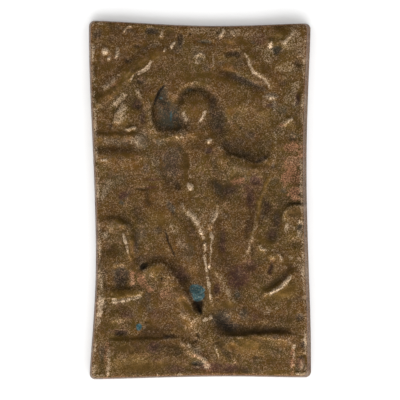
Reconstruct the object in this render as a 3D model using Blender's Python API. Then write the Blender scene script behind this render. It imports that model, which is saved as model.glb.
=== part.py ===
"""A small cast bronze icon: one flat-backed plaque with worn figures in low relief on its face.

It lies on its back. +X is to the icon's right as it is looked at, +Y runs to its top, +Z is up,
out of the face. The origin is on the flat back, under the middle of the plaque.
"""

import bmesh
import bpy
import numpy as np
from mathutils import Vector

# ---------------------------------------------------------------- driving dimensions, in metres
MM = 0.001
WIDTH = 55.9 * MM             # across the lower corners, the widest place
HEIGHT = 90.4 * MM            # from the bottom edge to the upper left corner
THICKNESS = 3.6 * MM          # at the rim, from the flat back to the face
CORNER = 1.5 * MM             # radius of the plan's corners
RIGHT_END_DROP = {"top": 0.7 * MM, "bottom": 0.5 * MM}   # the right side is shorter at each end
DRAFT = {"left": 0.55 * MM, "right": 1.0 * MM, "top": 0.45 * MM, "bottom": 0.6 * MM}
COLUMNS = 48                  # cells across the face
ROWS = 78                     # cells up the face
FACE_FADE = 1.3 * MM          # the relief dies away over this width along the rim

# Each side draws in to a waist: (depth, place as a share of the side, reach before it and after it).
PINCH = {
    "left": (1.7 * MM, 0.33, 0.38, 0.62),
    "right": (1.1 * MM, 0.6, 0.54, 0.46),
    "top": (0.95 * MM, 0.54, 0.55, 0.5),
    "bottom": (0.45 * MM, 0.57, 0.6, 0.45),
}

BRONZE = (0.118, 0.074, 0.034, 1.0)
BRONZE_ROUGHNESS = 0.45
BRONZE_METALLIC = 0.75


# ---------------------------------------------------------------- the plan of the plaque
def smooth_step(s):
    """0 below 0, 1 above 1, and 3s^2 - 2s^3 between."""
    s = np.clip(s, 0.0, 1.0)
    return s * s * (3.0 - 2.0 * s)


def bell(s):
    """(1 - s^2)^2 within one unit of the middle, and nothing beyond."""
    return np.clip(1.0 - s * s, 0.0, 1.0) ** 2


def pinch(share, side):
    """How far a side draws in at a share of its length: a bell about its waist."""
    depth, waist, before, after = PINCH[side]
    return depth * bell((share - waist) / np.where(share < waist, before, after))


def round_corners(x, y):
    """Pulls the square corners of a WIDTH by HEIGHT sheet onto arcs of the corner radius.

    Within a corner's square, a point keeps its direction from the arc's centre, and its larger
    coordinate becomes its distance from that centre.
    """
    px = np.clip((np.abs(x) - WIDTH / 2) / CORNER + 1.0, 0.0, 1.0)
    py = np.clip((np.abs(y) - HEIGHT / 2) / CORNER + 1.0, 0.0, 1.0)
    shrink = np.maximum(px, py) / np.maximum(np.hypot(px, py), 1e-9)
    both = (px > 0.0) & (py > 0.0)
    pull = np.where(both, 1.0 - shrink, 0.0) * CORNER
    return x - np.sign(x) * px * pull, y - np.sign(y) * py * pull


def plan(u, v):
    """Where the shares u across and v up the plaque fall, in metres."""
    x, y = round_corners((u - 0.5) * WIDTH, (v - 0.5) * HEIGHT)
    u, v = x / WIDTH + 0.5, y / HEIGHT + 0.5
    left = -WIDTH / 2 + pinch(v, "left")
    right = WIDTH / 2 - pinch(v, "right")
    bottom = -HEIGHT / 2 + u * RIGHT_END_DROP["bottom"] + pinch(u, "bottom")
    top = HEIGHT / 2 - u * RIGHT_END_DROP["top"] - pinch(u, "top")
    return left + (right - left) * u, bottom + (top - bottom) * v


# ---------------------------------------------------------------- strokes that shape the relief
def course(points, steps=6):
    """A smooth curve through the points, each stretch a Catmull-Rom cubic."""
    p = np.array(points, float)
    ends = np.vstack([2 * p[0] - p[1], p, 2 * p[-1] - p[-2]])
    t = np.linspace(0.0, 1.0, steps, endpoint=False)[:, None]
    runs = [
        b + 0.5 * t * (c - a + t * (2 * a - 5 * b + 4 * c - d + t * (3 * b - a - 3 * c + d)))
        for a, b, c, d in zip(ends, ends[1:], ends[2:], ends[3:])
    ]
    return np.vstack(runs + [p[-1:]])


def follow(x, y, points):
    """For each place: how far the course is, how far along it the nearest point lies (0 to 1),
    and on which side of it the place is (+1 on the left of the way it runs)."""
    line = course(points)
    steps = np.diff(line, axis=0)
    lengths = np.hypot(steps[:, 0], steps[:, 1])
    run = np.concatenate([[0.0], np.cumsum(lengths)])
    away = np.full(x.shape, np.inf)
    along = np.zeros(x.shape)
    hand = np.ones(x.shape)
    for start, step, length, before in zip(line, steps, lengths, run):
        dx, dy = x - start[0], y - start[1]
        t = np.clip((dx * step[0] + dy * step[1]) / length**2, 0.0, 1.0)
        ex, ey = dx - t * step[0], dy - t * step[1]
        distance = np.hypot(ex, ey)
        nearer = distance < away
        away = np.where(nearer, distance, away)
        along = np.where(nearer, (before + t * length) / run[-1], along)
        hand = np.where(nearer, np.where(step[0] * ey >= step[1] * ex, 1.0, -1.0), hand)
    return away, along, hand


def ends(along, first=0.15, last=0.15):
    """A stroke's strength along its length: it swells from nothing and dies away again."""
    return smooth_step(along / first) * smooth_step((1.0 - along) / last)


def ridge(x, y, points, width, height):
    """A rounded rib along a course, or a groove if the height is negative. Width is (left, right)."""
    away, along, hand = follow(x, y, points)
    return height * bell(away / np.where(hand > 0, width[0], width[1])) * ends(along)


def step_up(x, y, points, face, back, height):
    """A bank: on the left of the course the ground stands higher, and slopes off behind it."""
    away, along, hand = follow(x, y, points)
    past = away * hand
    climb = smooth_step(past / face + 0.5)
    slope = 1.0 - smooth_step((past - face / 2) / back)
    return height * climb * slope * ends(along)


def swell(x, y, middle, radii, height, turn=0.0):
    """A round boss, or a hollow if the height is negative: (1 - r^2)^2 over a turned ellipse."""
    c, s = np.cos(np.radians(turn)), np.sin(np.radians(turn))
    dx, dy = x - middle[0], y - middle[1]
    across, up = (dx * c + dy * s) / radii[0], (dy * c - dx * s) / radii[1]
    return height * bell(np.hypot(across, up))


# ---------------------------------------------------------------- the relief, in millimetres
def base(x, y):
    """The plain band along the foot, in two lengths, with the ground sunk above it."""
    h = step_up(x, y, [(25, -34.4), (20, -33.1), (14, -33.4), (6, -33.9), (2.8, -31.6)], 1.6, 6, 1.4)
    h += step_up(x, y, [(-5, -33.8), (-10, -34.5), (-18, -34.8), (-25.5, -34.7)], 1.6, 6.5, 0.9)
    h += swell(x, y, (10, -30.4), (11, 3.6), -0.5)
    h += swell(x, y, (5.4, -30.4), (3.6, 4), -0.6)
    h += ridge(x, y, [(-4.4, -34), (-1.8, -37.6), (2.2, -41.8)], (1.6, 2), 0.5)
    h += step_up(x, y, [(10.6, -41.6), (8, -37.6), (5, -34.2)], 1.6, 3.4, 0.5)
    return h


def slab(x, y):
    """The slanting slab at the left, from the low figure down to under the standing figure's feet."""
    crest = [(1.6, -30.6), (-2.4, -24.8), (-5.8, -19.6), (-8.6, -15.9), (-12.6, -16.2), (-15.2, -19.2)]
    h = step_up(x, y, crest, 1.7, 7, 1.05)
    h += swell(x, y, (-0.2, -26.7), (1.6, 2.4), -1.1, -8)
    h += ridge(x, y, [(-6.8, -14.5), (-9.4, -14.3), (-12, -15.2), (-14, -16.6)], (1.7, 1.7), -0.5)
    return h


def low_figures(x, y):
    """The two low figures, one at each side, and the block and the bent limb beneath them."""
    h = step_up(x, y, [(-15.6, -14.5), (-16.6, -8.8), (-19.2, -5), (-23.4, -5), (-25.6, -6)], 1.8, 5, 1.0)
    h += ridge(x, y, [(-19.4, -7.8), (-18.3, -12.4), (-16.8, -15.9)], (1.3, 1.2), 0.45)
    h += step_up(x, y, [(-13, -23.2), (-16.6, -21.9), (-22, -21.6), (-24.6, -22.2)], 1.6, 2.6, 0.75)
    h += swell(x, y, (-19.6, -19), (2.5, 3.2), -0.7)
    h += step_up(x, y, [(26.8, -1.4), (23.2, -1), (20.6, -3.4), (20, -5.4)], 1.6, 4.5, 0.9)
    h += ridge(x, y, [(14.4, -10.8), (17, -12.4), (20.4, -14.2), (21, -16)], (1.4, 1.4), 0.4)
    h += ridge(x, y, [(15.4, -22.6), (19.4, -21.4), (22.7, -18), (23.8, -15.8)], (1.7, 1.2), -0.5)
    h += ridge(x, y, [(15.6, -24), (19.6, -22.5), (22.8, -19.4), (24, -17)], (1.2, 1.7), 0.75)
    h += swell(x, y, (24, -10.8), (2.8, 1.8), -0.35)
    return h


def background(x, y):
    """The bar at the left, and the bands of cloud or drapery that arch over the figure."""
    h = step_up(x, y, [(-11.2, 11.4), (-17, 12.1), (-22, 12.3), (-26.5, 12.4)], 2.6, 5.5, 1.0)
    h += step_up(x, y, [(-13.6, 17), (-20, 16.6), (-26.5, 16.3)], 1.6, 2.6, 0.4)
    h += swell(x, y, (-15, 14.6), (2.5, 2.3), 0.4)
    band = [(-26.5, 23.6), (-21.8, 27.2), (-18, 31.6), (-13.4, 35.1), (-8.8, 38.2)]
    h += ridge(x, y, band, (2.2, 2), 0.75)
    h += ridge(x, y, [(-17.6, 29.2), (-15.8, 31.9), (-12.7, 34), (-11.8, 35.4)], (1.3, 1.2), 0.4)
    h += ridge(x, y, [(-21.6, 18.4), (-20.4, 22.2), (-18.4, 24.6)], (1.3, 1.9), 0.45)
    arch = [(10.6, 37.4), (12.6, 34), (14.6, 31.3), (17.2, 28.7), (17.9, 27.4)]
    h += step_up(x, y, arch, 1.4, 3.6, 0.6)
    h += ridge(x, y, [(20.4, 38), (22.8, 41.2), (24.2, 43)], (1.8, 1.3), 0.55)
    h += step_up(x, y, [(13.6, 27), (10.4, 30), (6, 31.9), (3.6, 32.2)], 1.5, 3.6, 0.6)
    h += swell(x, y, (-23.6, 37.3), (1.8, 1.8), 0.5)
    h += swell(x, y, (-7.6, 41.6), (2.1, 1.8), 0.45)
    h += swell(x, y, (17.6, 38.8), (1.6, 1.8), 0.45)
    h += swell(x, y, (19.3, 37.6), (1.8, 1.8), -0.6)
    return h


def standing_figure(x, y):
    """The robed figure between two hollows: head, shoulders, arm, legs, hem and staff."""
    h = swell(x, y, (-8, 21.4), (4.4, 6.4), -0.9) + swell(x, y, (11, 16.6), (7.6, 7.4), -0.95)
    h += swell(x, y, (4.6, 20.4), (3.2, 6), -0.75, 12)
    h += step_up(x, y, [(-3, 18.9), (-6, 17.4), (-9.8, 17.5), (-11.6, 21), (-10.9, 25.4)], 1.6, 2.8, 0.6)
    cloak = [(19, 20), (17.9, 15.5), (16.8, 10.8), (13.4, 9.9), (8.6, 11.3), (5, 13.7), (1.6, 17.6)]
    h += step_up(x, y, cloak, 1.5, 6, 0.75)
    h += swell(x, y, (-1.1, 22.9), (4.6, 5.4), 1.2) + swell(x, y, (-1.6, 17.4), (2.6, 3.6), 0.45)
    h += ridge(x, y, [(-5, 22.4), (-4.2, 26.4), (-0.8, 27.9), (2.6, 26), (3.8, 22)], (1.5, 1.5), -0.6)
    h += ridge(x, y, [(-5.9, 24.8), (-3.4, 28.6), (1.6, 28.8), (5, 25)], (1.3, 1.3), 0.3)
    h += swell(x, y, (-6.8, 9.3), (4, 5.2), -0.5) + swell(x, y, (-6.8, 9.2), (3, 4), 0.5)
    h += swell(x, y, (0.2, 9.5), (4.2, 7.2), 0.5) + swell(x, y, (0.2, -1.6), (5, 5), 0.65)
    h += swell(x, y, (0.5, 2.0), (10.5, 24.0), 0.3)
    h += swell(x, y, (4.6, 4.2), (3, 1.8), -0.55, -30) + swell(x, y, (7.2, 2), (2.6, 1.7), -0.4, -20)
    h += ridge(x, y, [(-6.8, -2.4), (-3.6, -6), (-1, -10.6)], (1.6, 1.6), -0.5)
    h += ridge(x, y, [(6, -1.4), (5.4, -8.6), (5.6, -12.4)], (1.5, 1.5), -0.5)
    h += ridge(x, y, [(-4.9, -0.2), (-1.4, -5.6), (1.3, -13), (2.1, -21), (2.8, -26)], (1.3, 1.2), 0.5)
    h += ridge(x, y, [(3, -16.6), (5.9, -20.4), (7.4, -25), (8.6, -27)], (1.9, 1.3), 0.45)
    h += ridge(x, y, [(17.8, 6.8), (15, -0.2), (13.9, -5.8), (11.2, -15.2)], (1.3, 1.3), 0.5)
    return h


def relief(x, y):
    """Height of the face over the rim, in metres, for places given in metres."""
    px, py = x / MM, y / MM
    height = base(px, py) + slab(px, py) + low_figures(px, py)
    height += background(px, py) + standing_figure(px, py)
    return height * MM


# ---------------------------------------------------------------- the plaque as one casting
def bronze():
    material = bpy.data.materials.new("bronze")
    material.use_nodes = True
    shader = material.node_tree.nodes["Principled BSDF"]
    shader.inputs["Base Color"].default_value = BRONZE
    shader.inputs["Roughness"].default_value = BRONZE_ROUGHNESS
    shader.inputs["Metallic"].default_value = BRONZE_METALLIC
    return material


def place_face(mesh_edit):
    """Carries a grid of unit size onto the plan, drawn in by the draft, and raises the relief."""
    shares = np.array([vert.co[:2] for vert in mesh_edit.verts]) + 0.5
    u, v = shares[:, 0], shares[:, 1]
    x, y = plan(u, v)
    x = x + DRAFT["left"] * (1 - u) - DRAFT["right"] * u
    y = y + DRAFT["bottom"] * (1 - v) - DRAFT["top"] * v
    from_rim = np.minimum(np.minimum(u, 1 - u) * WIDTH, np.minimum(v, 1 - v) * HEIGHT)
    z = THICKNESS + relief(x, y) * smooth_step(from_rim / FACE_FADE)
    for vert, place in zip(mesh_edit.verts, np.column_stack([x, y, z])):
        vert.co = Vector(place)
    return shares


def close_back(mesh_edit, shares):
    """Extrudes the face down to the flat back, on the full plan, and leaves the back one face."""
    mesh_edit.verts.ensure_lookup_table()
    full = {vert: place for vert, place in zip(mesh_edit.verts, np.column_stack(plan(*shares.T)))}
    places = {tuple(vert.co): full[vert] for vert in mesh_edit.verts}
    copied = bmesh.ops.extrude_face_region(mesh_edit, geom=mesh_edit.faces[:], use_keep_orig=True)
    back = [item for item in copied["geom"] if isinstance(item, bmesh.types.BMVert)]
    for vert in back:
        place = places[tuple(vert.co)]
        vert.co = Vector((place[0], place[1], 0.0))
    under = [item for item in copied["geom"] if isinstance(item, bmesh.types.BMFace)]
    bmesh.ops.dissolve_faces(mesh_edit, faces=under, use_verts=False)
    bmesh.ops.recalc_face_normals(mesh_edit, faces=mesh_edit.faces[:])


def icon_plaque(collection):
    mesh_edit = bmesh.new()
    bmesh.ops.create_grid(mesh_edit, x_segments=COLUMNS, y_segments=ROWS, size=0.5)
    shares = place_face(mesh_edit)
    close_back(mesh_edit, shares)
    mesh = bpy.data.meshes.new("icon_plaque")
    mesh_edit.to_mesh(mesh)
    mesh_edit.free()
    mesh.shade_smooth()
    mesh.set_sharp_from_angle(angle=np.radians(50.0))
    mesh.materials.append(bronze())
    plaque = bpy.data.objects.new("icon_plaque", mesh)
    collection.objects.link(plaque)
    return plaque


for old in list(bpy.data.objects):
    bpy.data.objects.remove(old, do_unlink=True)

icon = bpy.data.collections.new("bronze_icon")
bpy.context.scene.collection.children.link(icon)
icon_plaque(icon)
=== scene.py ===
import math

import bpy
import mathutils
import numpy as np
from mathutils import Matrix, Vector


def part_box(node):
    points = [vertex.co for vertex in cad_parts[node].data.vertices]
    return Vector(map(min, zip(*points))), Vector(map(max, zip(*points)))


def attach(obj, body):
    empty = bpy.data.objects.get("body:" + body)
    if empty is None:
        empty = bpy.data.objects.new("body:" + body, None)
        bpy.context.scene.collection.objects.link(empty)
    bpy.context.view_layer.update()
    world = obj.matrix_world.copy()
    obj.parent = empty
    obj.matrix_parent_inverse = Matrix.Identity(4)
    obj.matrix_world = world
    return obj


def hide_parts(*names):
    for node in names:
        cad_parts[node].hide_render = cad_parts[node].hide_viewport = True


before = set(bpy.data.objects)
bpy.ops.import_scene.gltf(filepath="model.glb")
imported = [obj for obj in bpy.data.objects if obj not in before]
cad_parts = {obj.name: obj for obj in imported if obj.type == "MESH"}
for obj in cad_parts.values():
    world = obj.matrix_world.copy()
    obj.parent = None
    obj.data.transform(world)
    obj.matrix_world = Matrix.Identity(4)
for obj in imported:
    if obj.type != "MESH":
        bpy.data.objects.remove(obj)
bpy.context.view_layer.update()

# ------------------------------------------------------------------------------------------------
# The plaque. One solid bronze casting from an open mould: a thick sheet with a flat back, whose
# four sides draw in a little between the corners and lean inwards, so that it left the mould.
# Lengths below are in millimetres of the casting, and MM is one of them in the frame's metres.
# ------------------------------------------------------------------------------------------------
low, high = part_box("icon_plaque")
WIDTH = 55.9
HEIGHT = 90.4
THICKNESS = 3.6
CORNER = 1.5
EDGE_ROUND = 0.5
MM = (high[0] - low[0]) / WIDTH
RIGHT_END_DROP = {"top": 0.7, "bottom": 0.5}
DRAFT = {"left": 0.55, "right": 1.0, "top": 0.45, "bottom": 0.6}
# Each side draws in to a waist: depth, its place as a share of the side, reach before and after.
PINCH = {
    "left": (1.7, 0.33, 0.38, 0.62),
    "right": (1.1, 0.6, 0.54, 0.46),
    "top": (0.95, 0.54, 0.55, 0.5),
    "bottom": (0.45, 0.57, 0.6, 0.45),
}
COLUMNS = 220                 # cells of the face, each about a quarter of a millimetre
ROWS = 356


def bell(s):
    """(1 - s^2)^2 within one unit of the middle, and nothing beyond."""
    return np.clip(1.0 - s * s, 0.0, 1.0) ** 2


def pinch(share, side):
    """How far a side draws in at a share of its length: depth times a bell about its waist."""
    depth, waist, before, after = PINCH[side]
    return depth * bell((share - waist) / np.where(share < waist, before, after))


def round_corners(x, y):
    """In each corner's square, a point keeps its direction from the corner arc's centre, and the
    larger of its two offsets from that centre becomes its distance."""
    px = np.clip((np.abs(x) - WIDTH / 2) / CORNER + 1.0, 0.0, 1.0)
    py = np.clip((np.abs(y) - HEIGHT / 2) / CORNER + 1.0, 0.0, 1.0)
    shrink = np.maximum(px, py) / np.maximum(np.hypot(px, py), 1e-9)
    pull = np.where((px > 0.0) & (py > 0.0), 1.0 - shrink, 0.0) * CORNER
    return x - np.sign(x) * px * pull, y - np.sign(y) * py * pull


def plan(u, v):
    """Shares u across and v up the plaque, to a place between its four drawn-in sides."""
    x, y = round_corners((u - 0.5) * WIDTH, (v - 0.5) * HEIGHT)
    u, v = x / WIDTH + 0.5, y / HEIGHT + 0.5
    left = -WIDTH / 2 + pinch(v, "left")
    right = WIDTH / 2 - pinch(v, "right")
    bottom = -HEIGHT / 2 + u * RIGHT_END_DROP["bottom"] + pinch(u, "bottom")
    top = HEIGHT / 2 - u * RIGHT_END_DROP["top"] - pinch(u, "top")
    return left + (right - left) * u, bottom + (top - bottom) * v


def level(u, v, inset, lean):
    """The plan, drawn in by the inset all round and by the lean's share of each side's draft."""
    u = inset / WIDTH + u * (1 - 2 * inset / WIDTH)
    v = inset / HEIGHT + v * (1 - 2 * inset / HEIGHT)
    px, py = plan(u, v)
    px = px + lean * (DRAFT["left"] * (1 - u) - DRAFT["right"] * u)
    return px, py + lean * (DRAFT["bottom"] * (1 - v) - DRAFT["top"] * v)


share_u, share_v = np.meshgrid(np.linspace(0, 1, COLUMNS + 1), np.linspace(0, 1, ROWS + 1))
x, y = level(share_u, share_v, EDGE_ROUND, 1.0)

# ------------------------------------------------------------------------------------------------
# The foot band. A plain raised band of bronze along the lower edge, with a fold running down over
# it. Like the rest of the relief, it was cut by hand in the mould as ribs, banks and hollows, and
# was rubbed down by handling. Each stroke adds to the face along a short course.
# ------------------------------------------------------------------------------------------------
def smooth_step(s):
    """0 below 0, 1 above 1, and 3s^2 - 2s^3 between."""
    s = np.clip(s, 0.0, 1.0)
    return s * s * (3.0 - 2.0 * s)


def lattice(px, py, size, seed):
    """Gradient noise, about -1 to 1: each point of a turned square lattice of the given size has a
    random slope, and the four nearest slopes are blended by a smooth step."""
    angles = np.random.default_rng(seed).uniform(0.0, 2 * math.pi, (64, 64))
    turn = 0.6 * seed
    u = (px * math.cos(turn) - py * math.sin(turn)) / size + 211.3
    v = (px * math.sin(turn) + py * math.cos(turn)) / size + 157.7
    i, j = np.floor(u).astype(int), np.floor(v).astype(int)
    fu, fv = u - i, v - j

    def slope(di, dj):
        """The height, at the place, of the sloping plane through one of the four points."""
        angle = angles[(i + di) % 64, (j + dj) % 64]
        return np.cos(angle) * (fu - di) + np.sin(angle) * (fv - dj)

    su, sv = smooth_step(fu), smooth_step(fv)
    near = slope(0, 0) * (1 - su) + slope(1, 0) * su
    far = slope(0, 1) * (1 - su) + slope(1, 1) * su
    return 1.5 * (near * (1 - sv) + far * sv)


# The modeller's hand wandered a little, and pressed unevenly.
hand_x = x + 0.20 * lattice(x, y, 2.1, 91) + 0.12 * lattice(x, y, 0.9, 92)
hand_y = y + 0.20 * lattice(x, y, 2.3, 93) + 0.12 * lattice(x, y, 0.8, 94)
unsteady = 1.0 + 0.35 * lattice(x, y, 2.7, 95) + 0.2 * lattice(x, y, 1.2, 96)

rise = np.zeros(x.shape)      # how far the face stands over the level of its rim
# The next field is bright metal: rubbed through by wear, and partly painted highlights.
bare_and_glint = np.zeros(x.shape)      # how far each place is rubbed through to bright metal, 0 to 1
# The next field darkens each place with dirt in cracks and with painted shade, 0 to 1.
dirt_and_shade = np.zeros(x.shape)      # how far dirt fills each place, 0 to 1


def course(points, steps=10):
    """A smooth curve through the points, each stretch a Catmull-Rom cubic."""
    p = np.array(points, float)
    knots = np.vstack([2 * p[0] - p[1], p, 2 * p[-1] - p[-2]])
    t = np.linspace(0.0, 1.0, steps, endpoint=False)[:, None]
    runs = [
        b + 0.5 * t * (c - a + t * (2 * a - 5 * b + 4 * c - d + t * (3 * b - a - 3 * c + d)))
        for a, b, c, d in zip(knots, knots[1:], knots[2:], knots[3:])
    ]
    return np.vstack(runs + [p[-1:]])


def follow(points, reach):
    """The places within reach of a course, and for each: its distance from the course, the share
    of the course at which it is nearest, and its side (+1 on the left of the way it runs)."""
    line = course(points)
    first, last = line.min(axis=0) - reach, line.max(axis=0) + reach
    near = (hand_x > first[0]) & (hand_x < last[0]) & (hand_y > first[1]) & (hand_y < last[1])
    px, py = hand_x[near], hand_y[near]
    steps = np.diff(line, axis=0)
    lengths = np.hypot(steps[:, 0], steps[:, 1])
    run = np.concatenate([[0.0], np.cumsum(lengths)])
    away = np.full(px.shape, np.inf)
    along = np.zeros(px.shape)
    hand = np.ones(px.shape)
    for start, step, length, before in zip(line, steps, lengths, run):
        dx, dy = px - start[0], py - start[1]
        t = np.clip((dx * step[0] + dy * step[1]) / length**2, 0.0, 1.0)
        ex, ey = dx - t * step[0], dy - t * step[1]
        distance = np.hypot(ex, ey)
        nearer = distance < away
        away = np.where(nearer, distance, away)
        along = np.where(nearer, (before + t * length) / run[-1], along)
        hand = np.where(nearer, np.where(step[0] * ey >= step[1] * ex, 1.0, -1.0), hand)
    return near, away, along, hand


def taper(along, fade):
    """A stroke's strength: it swells over its first share and dies away over its last."""
    return smooth_step(along / fade[0]) * smooth_step((1.0 - along) / fade[1])


def ridge(points, width, height, fade=(0.2, 0.2)):
    """A rounded rib, or a groove if the height is negative: height times a bell of the distance.
    The width is one number, or one for the left and one for the right of the way it runs."""
    left, right = width if isinstance(width, tuple) else (width, width)
    near, away, along, hand = follow(points, max(left, right))
    profile = bell(away / np.where(hand > 0, left, right)) * taper(along, fade)
    rise[near] += height * profile * unsteady[near]


def bank(points, face, back, height, fade=(0.15, 0.15)):
    """Ground that stands higher on the left of the course: it climbs by a smooth step as wide as
    the face, and slopes off again over the width of the back."""
    near, away, along, hand = follow(points, face + back)
    past = away * hand
    climb = smooth_step(past / face + 0.5)
    slope = 1.0 - smooth_step((past - face / 2) / back)
    rise[near] += height * climb * slope * taper(along, fade) * unsteady[near]


def within(middle, radii, turn=0.0):
    """Distance from the middle of a turned ellipse, which is 1 on its edge."""
    c, s = math.cos(math.radians(turn)), math.sin(math.radians(turn))
    dx, dy = hand_x - middle[0], hand_y - middle[1]
    return np.hypot((dx * c + dy * s) / radii[0], (dy * c - dx * s) / radii[1])


def swell(middle, radii, height, turn=0.0, power=2.0):
    """A round boss, or a hollow if the height is negative: (1 - r^2)^power inside the ellipse."""
    r = within(middle, radii, turn)
    rise[:] += height * np.clip(1.0 - r * r, 0.0, 1.0) ** power


def raise_along(finish, points, width, amount, fade):
    """Raises a finish to the amount along a course, fading across the width as a bell."""
    near, away, along, _ = follow(points, width)
    finish[near] = np.maximum(finish[near], amount * bell(away / width) * taper(along, fade))


def rub_and_glint(points, width, amount, fade=(0.2, 0.2)):
    """Bright metal along a course: rubbed wear, and partly a painted highlight."""
    raise_along(bare_and_glint, points, width, amount, fade)


def glint(middle, radii, amount, turn=0.0):
    """A rubbed spot, partly a painted highlight: the amount times 1 - r^2 inside the ellipse."""
    r = within(middle, radii, turn)
    bare_and_glint[:] = np.maximum(bare_and_glint, amount * np.clip(1.0 - r * r, 0.0, 1.0))


def paint_dirt_and_shade(points, width=0.35, amount=0.9, fade=(0.1, 0.15)):
    """Dirt and painted shade along a course: a thin black crack if it is narrow, a soft painted shade
    if it is wide.
    """
    raise_along(dirt_and_shade, points, width, amount, fade)


# Here and in the sections below, the shapes come first, then where they are rubbed bright, partly
# as painted highlights, and where dirt and painted shade darken them.

# The band's upper edge, to the right of the fold and to the left of it.
bank(
    [(25.4, -34.6), (23.6, -33.7), (22.0, -33.2), (18.0, -33.1), (14.0, -33.4), (10.0, -33.8),
     (6.0, -33.9), (4.0, -33.2), (2.6, -31.6)],
    face=1.0, back=5.0, height=0.55, fade=(0.16, 0.1),
)
bank(
    [(-4.6, -33.6), (-6.0, -34.3), (-8.0, -34.5), (-12.0, -34.5), (-16.0, -34.7), (-20.0, -34.9),
     (-24.5, -34.6)],
    face=0.8, back=9.0, height=0.45, fade=(0.06, 0.25),
)

# The fold's right edge.
bank(
    [(10.6, -41.6), (9.4, -39.6), (8.0, -37.6), (6.4, -35.6), (5.0, -34.2)],
    face=1.5, back=3.4, height=0.5, fade=(0.35, 0.1),
)

# Grooves along the band's upper edge.
ridge(
    [(24.6, -32.6), (20.0, -32.0), (15.0, -32.2), (10.0, -32.4), (5.0, -32.2)],
    1.8, -0.2, fade=(0.2, 0.1),
)
ridge([(-6.0, -33.6), (-8.0, -33.7), (-9.6, -33.4)], 0.8, -0.25)
ridge([(-21.6, -32.9), (-19.6, -33.2), (-17.6, -33.2)], 0.9, -0.4)

# The crest of the fold, with ribs and a groove beside it.
ridge(
    [(-4.4, -34.0), (-3.2, -35.9), (-1.8, -37.6), (-0.2, -38.8), (1.2, -39.8), (2.2, -41.8)],
    (1.0, 1.8), 0.5,
)
ridge([(3.9, -36.6), (4.4, -38.4), (5.0, -40.0)], 0.7, 0.25)
ridge([(4.6, -34.6), (5.8, -36.6), (7.4, -38.6), (8.6, -40.4)], (1.6, 1.4), -0.45, fade=(0.1, 0.35))

# Upright ribs and grooves near the ends of the band.
ridge(
    [(-23.0, -36.0), (-22.8, -39.0), (-22.9, -42.0), (-23.2, -44.4)],
    (0.9, 0.8), 0.35, fade=(0.2, 0.05),
)
ridge([(-24.2, -36.0), (-24.3, -40.0), (-24.6, -44.0)], 0.8, -0.2)
ridge([(23.6, -35.2), (23.5, -38.5), (23.2, -42.0)], (0.9, 1.0), 0.35, fade=(0.1, 0.2))
ridge([(24.4, -43.4), (24.4, -41.2), (25.0, -39.6), (26.4, -38.4)], 0.8, -0.25)
ridge([(26.6, -40.2), (26.3, -41.8), (25.6, -43.0)], 0.5, -0.3)

# Hollows over the band, and pits in the fold.
swell((5.6, -30.6), (3.0, 3.4), -0.4, power=1.6)
swell((11.0, -31.2), (9.0, 2.6), -0.15)
swell((-13.5, -30.4), (0.8, 0.4), -0.3, turn=30.0)
swell((-0.4, -33.8), (0.5, 1.0), -0.6, turn=12.0)
swell((-1.2, -35.3), (1.1, 0.75), -0.45)
swell((-1.0, -40.9), (2.0, 0.6), -0.4, turn=-6.0)
swell((13.9, -39.3), (1.0, 0.4), -0.35)
swell((25.7, -36.0), (1.3, 1.2), -0.3)
swell((25.5, -41.2), (0.9, 1.6), 0.3)
swell((12.0, -37.4), (6.0, 3.0), 0.2)

# Rubbed through to bright metal, and partly painted highlights.
rub_and_glint([(-3.4, -35.6), (-2.2, -37.0), (-1.4, -37.7)], 0.6, 0.35)
rub_and_glint([(-1.6, -38.4), (-0.2, -38.9), (1.0, -39.8), (1.7, -40.8)], 1.3, 0.34)
rub_and_glint([(3.9, -36.8), (4.4, -38.4), (4.9, -39.8)], 0.4, 0.3)
rub_and_glint([(0.0, -34.4), (1.0, -35.2), (1.8, -35.4)], 0.4, 0.35)
rub_and_glint([(-2.4, -41.4), (-1.2, -41.9), (0.4, -41.6), (1.6, -41.0)], 0.45, 0.35)
rub_and_glint([(-23.0, -36.4), (-22.8, -39.4), (-22.9, -42.0), (-23.2, -44.0)], 1.0, 0.32, fade=(0.2, 0.05))
rub_and_glint([(24.9, -35.6), (25.5, -34.9), (26.4, -35.1)], 0.3, 0.4)
rub_and_glint([(25.0, -36.8), (25.8, -37.2), (26.6, -36.9)], 0.3, 0.35)
rub_and_glint([(-1.8, -36.0), (-0.4, -37.6), (1.0, -39.2)], 1.8, 0.3)
rub_and_glint([(25.0, -39.6), (25.0, -41.4), (24.4, -43.2)], 1.4, 0.3)
rub_and_glint([(-1.2, -36.0), (0.6, -38.6)], 2.6, 0.46)
glint((1.8, -41.6), (1.1, 1.1), 0.8)
glint((-0.4, -35.2), (0.4, 0.3), 0.3)
glint((14.5, -40.1), (0.9, 0.4), 0.3)
glint((13.4, -36.5), (0.5, 0.5), 0.4)
glint((-10.6, -43.6), (0.2, 0.4), 1.2)
glint((-5.2, -43.4), (0.7, 0.22), 1.3)
glint((23.5, -36.6), (0.6, 0.6), 1.4)
glint((23.3, -38.8), (0.7, 1.3), 0.5)
glint((22.5, -35.0), (0.7, 0.7), 0.25)
glint((22.9, -41.7), (0.5, 1.0), 0.3)
glint((25.4, -41.0), (0.7, 1.4), 0.35)

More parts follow.
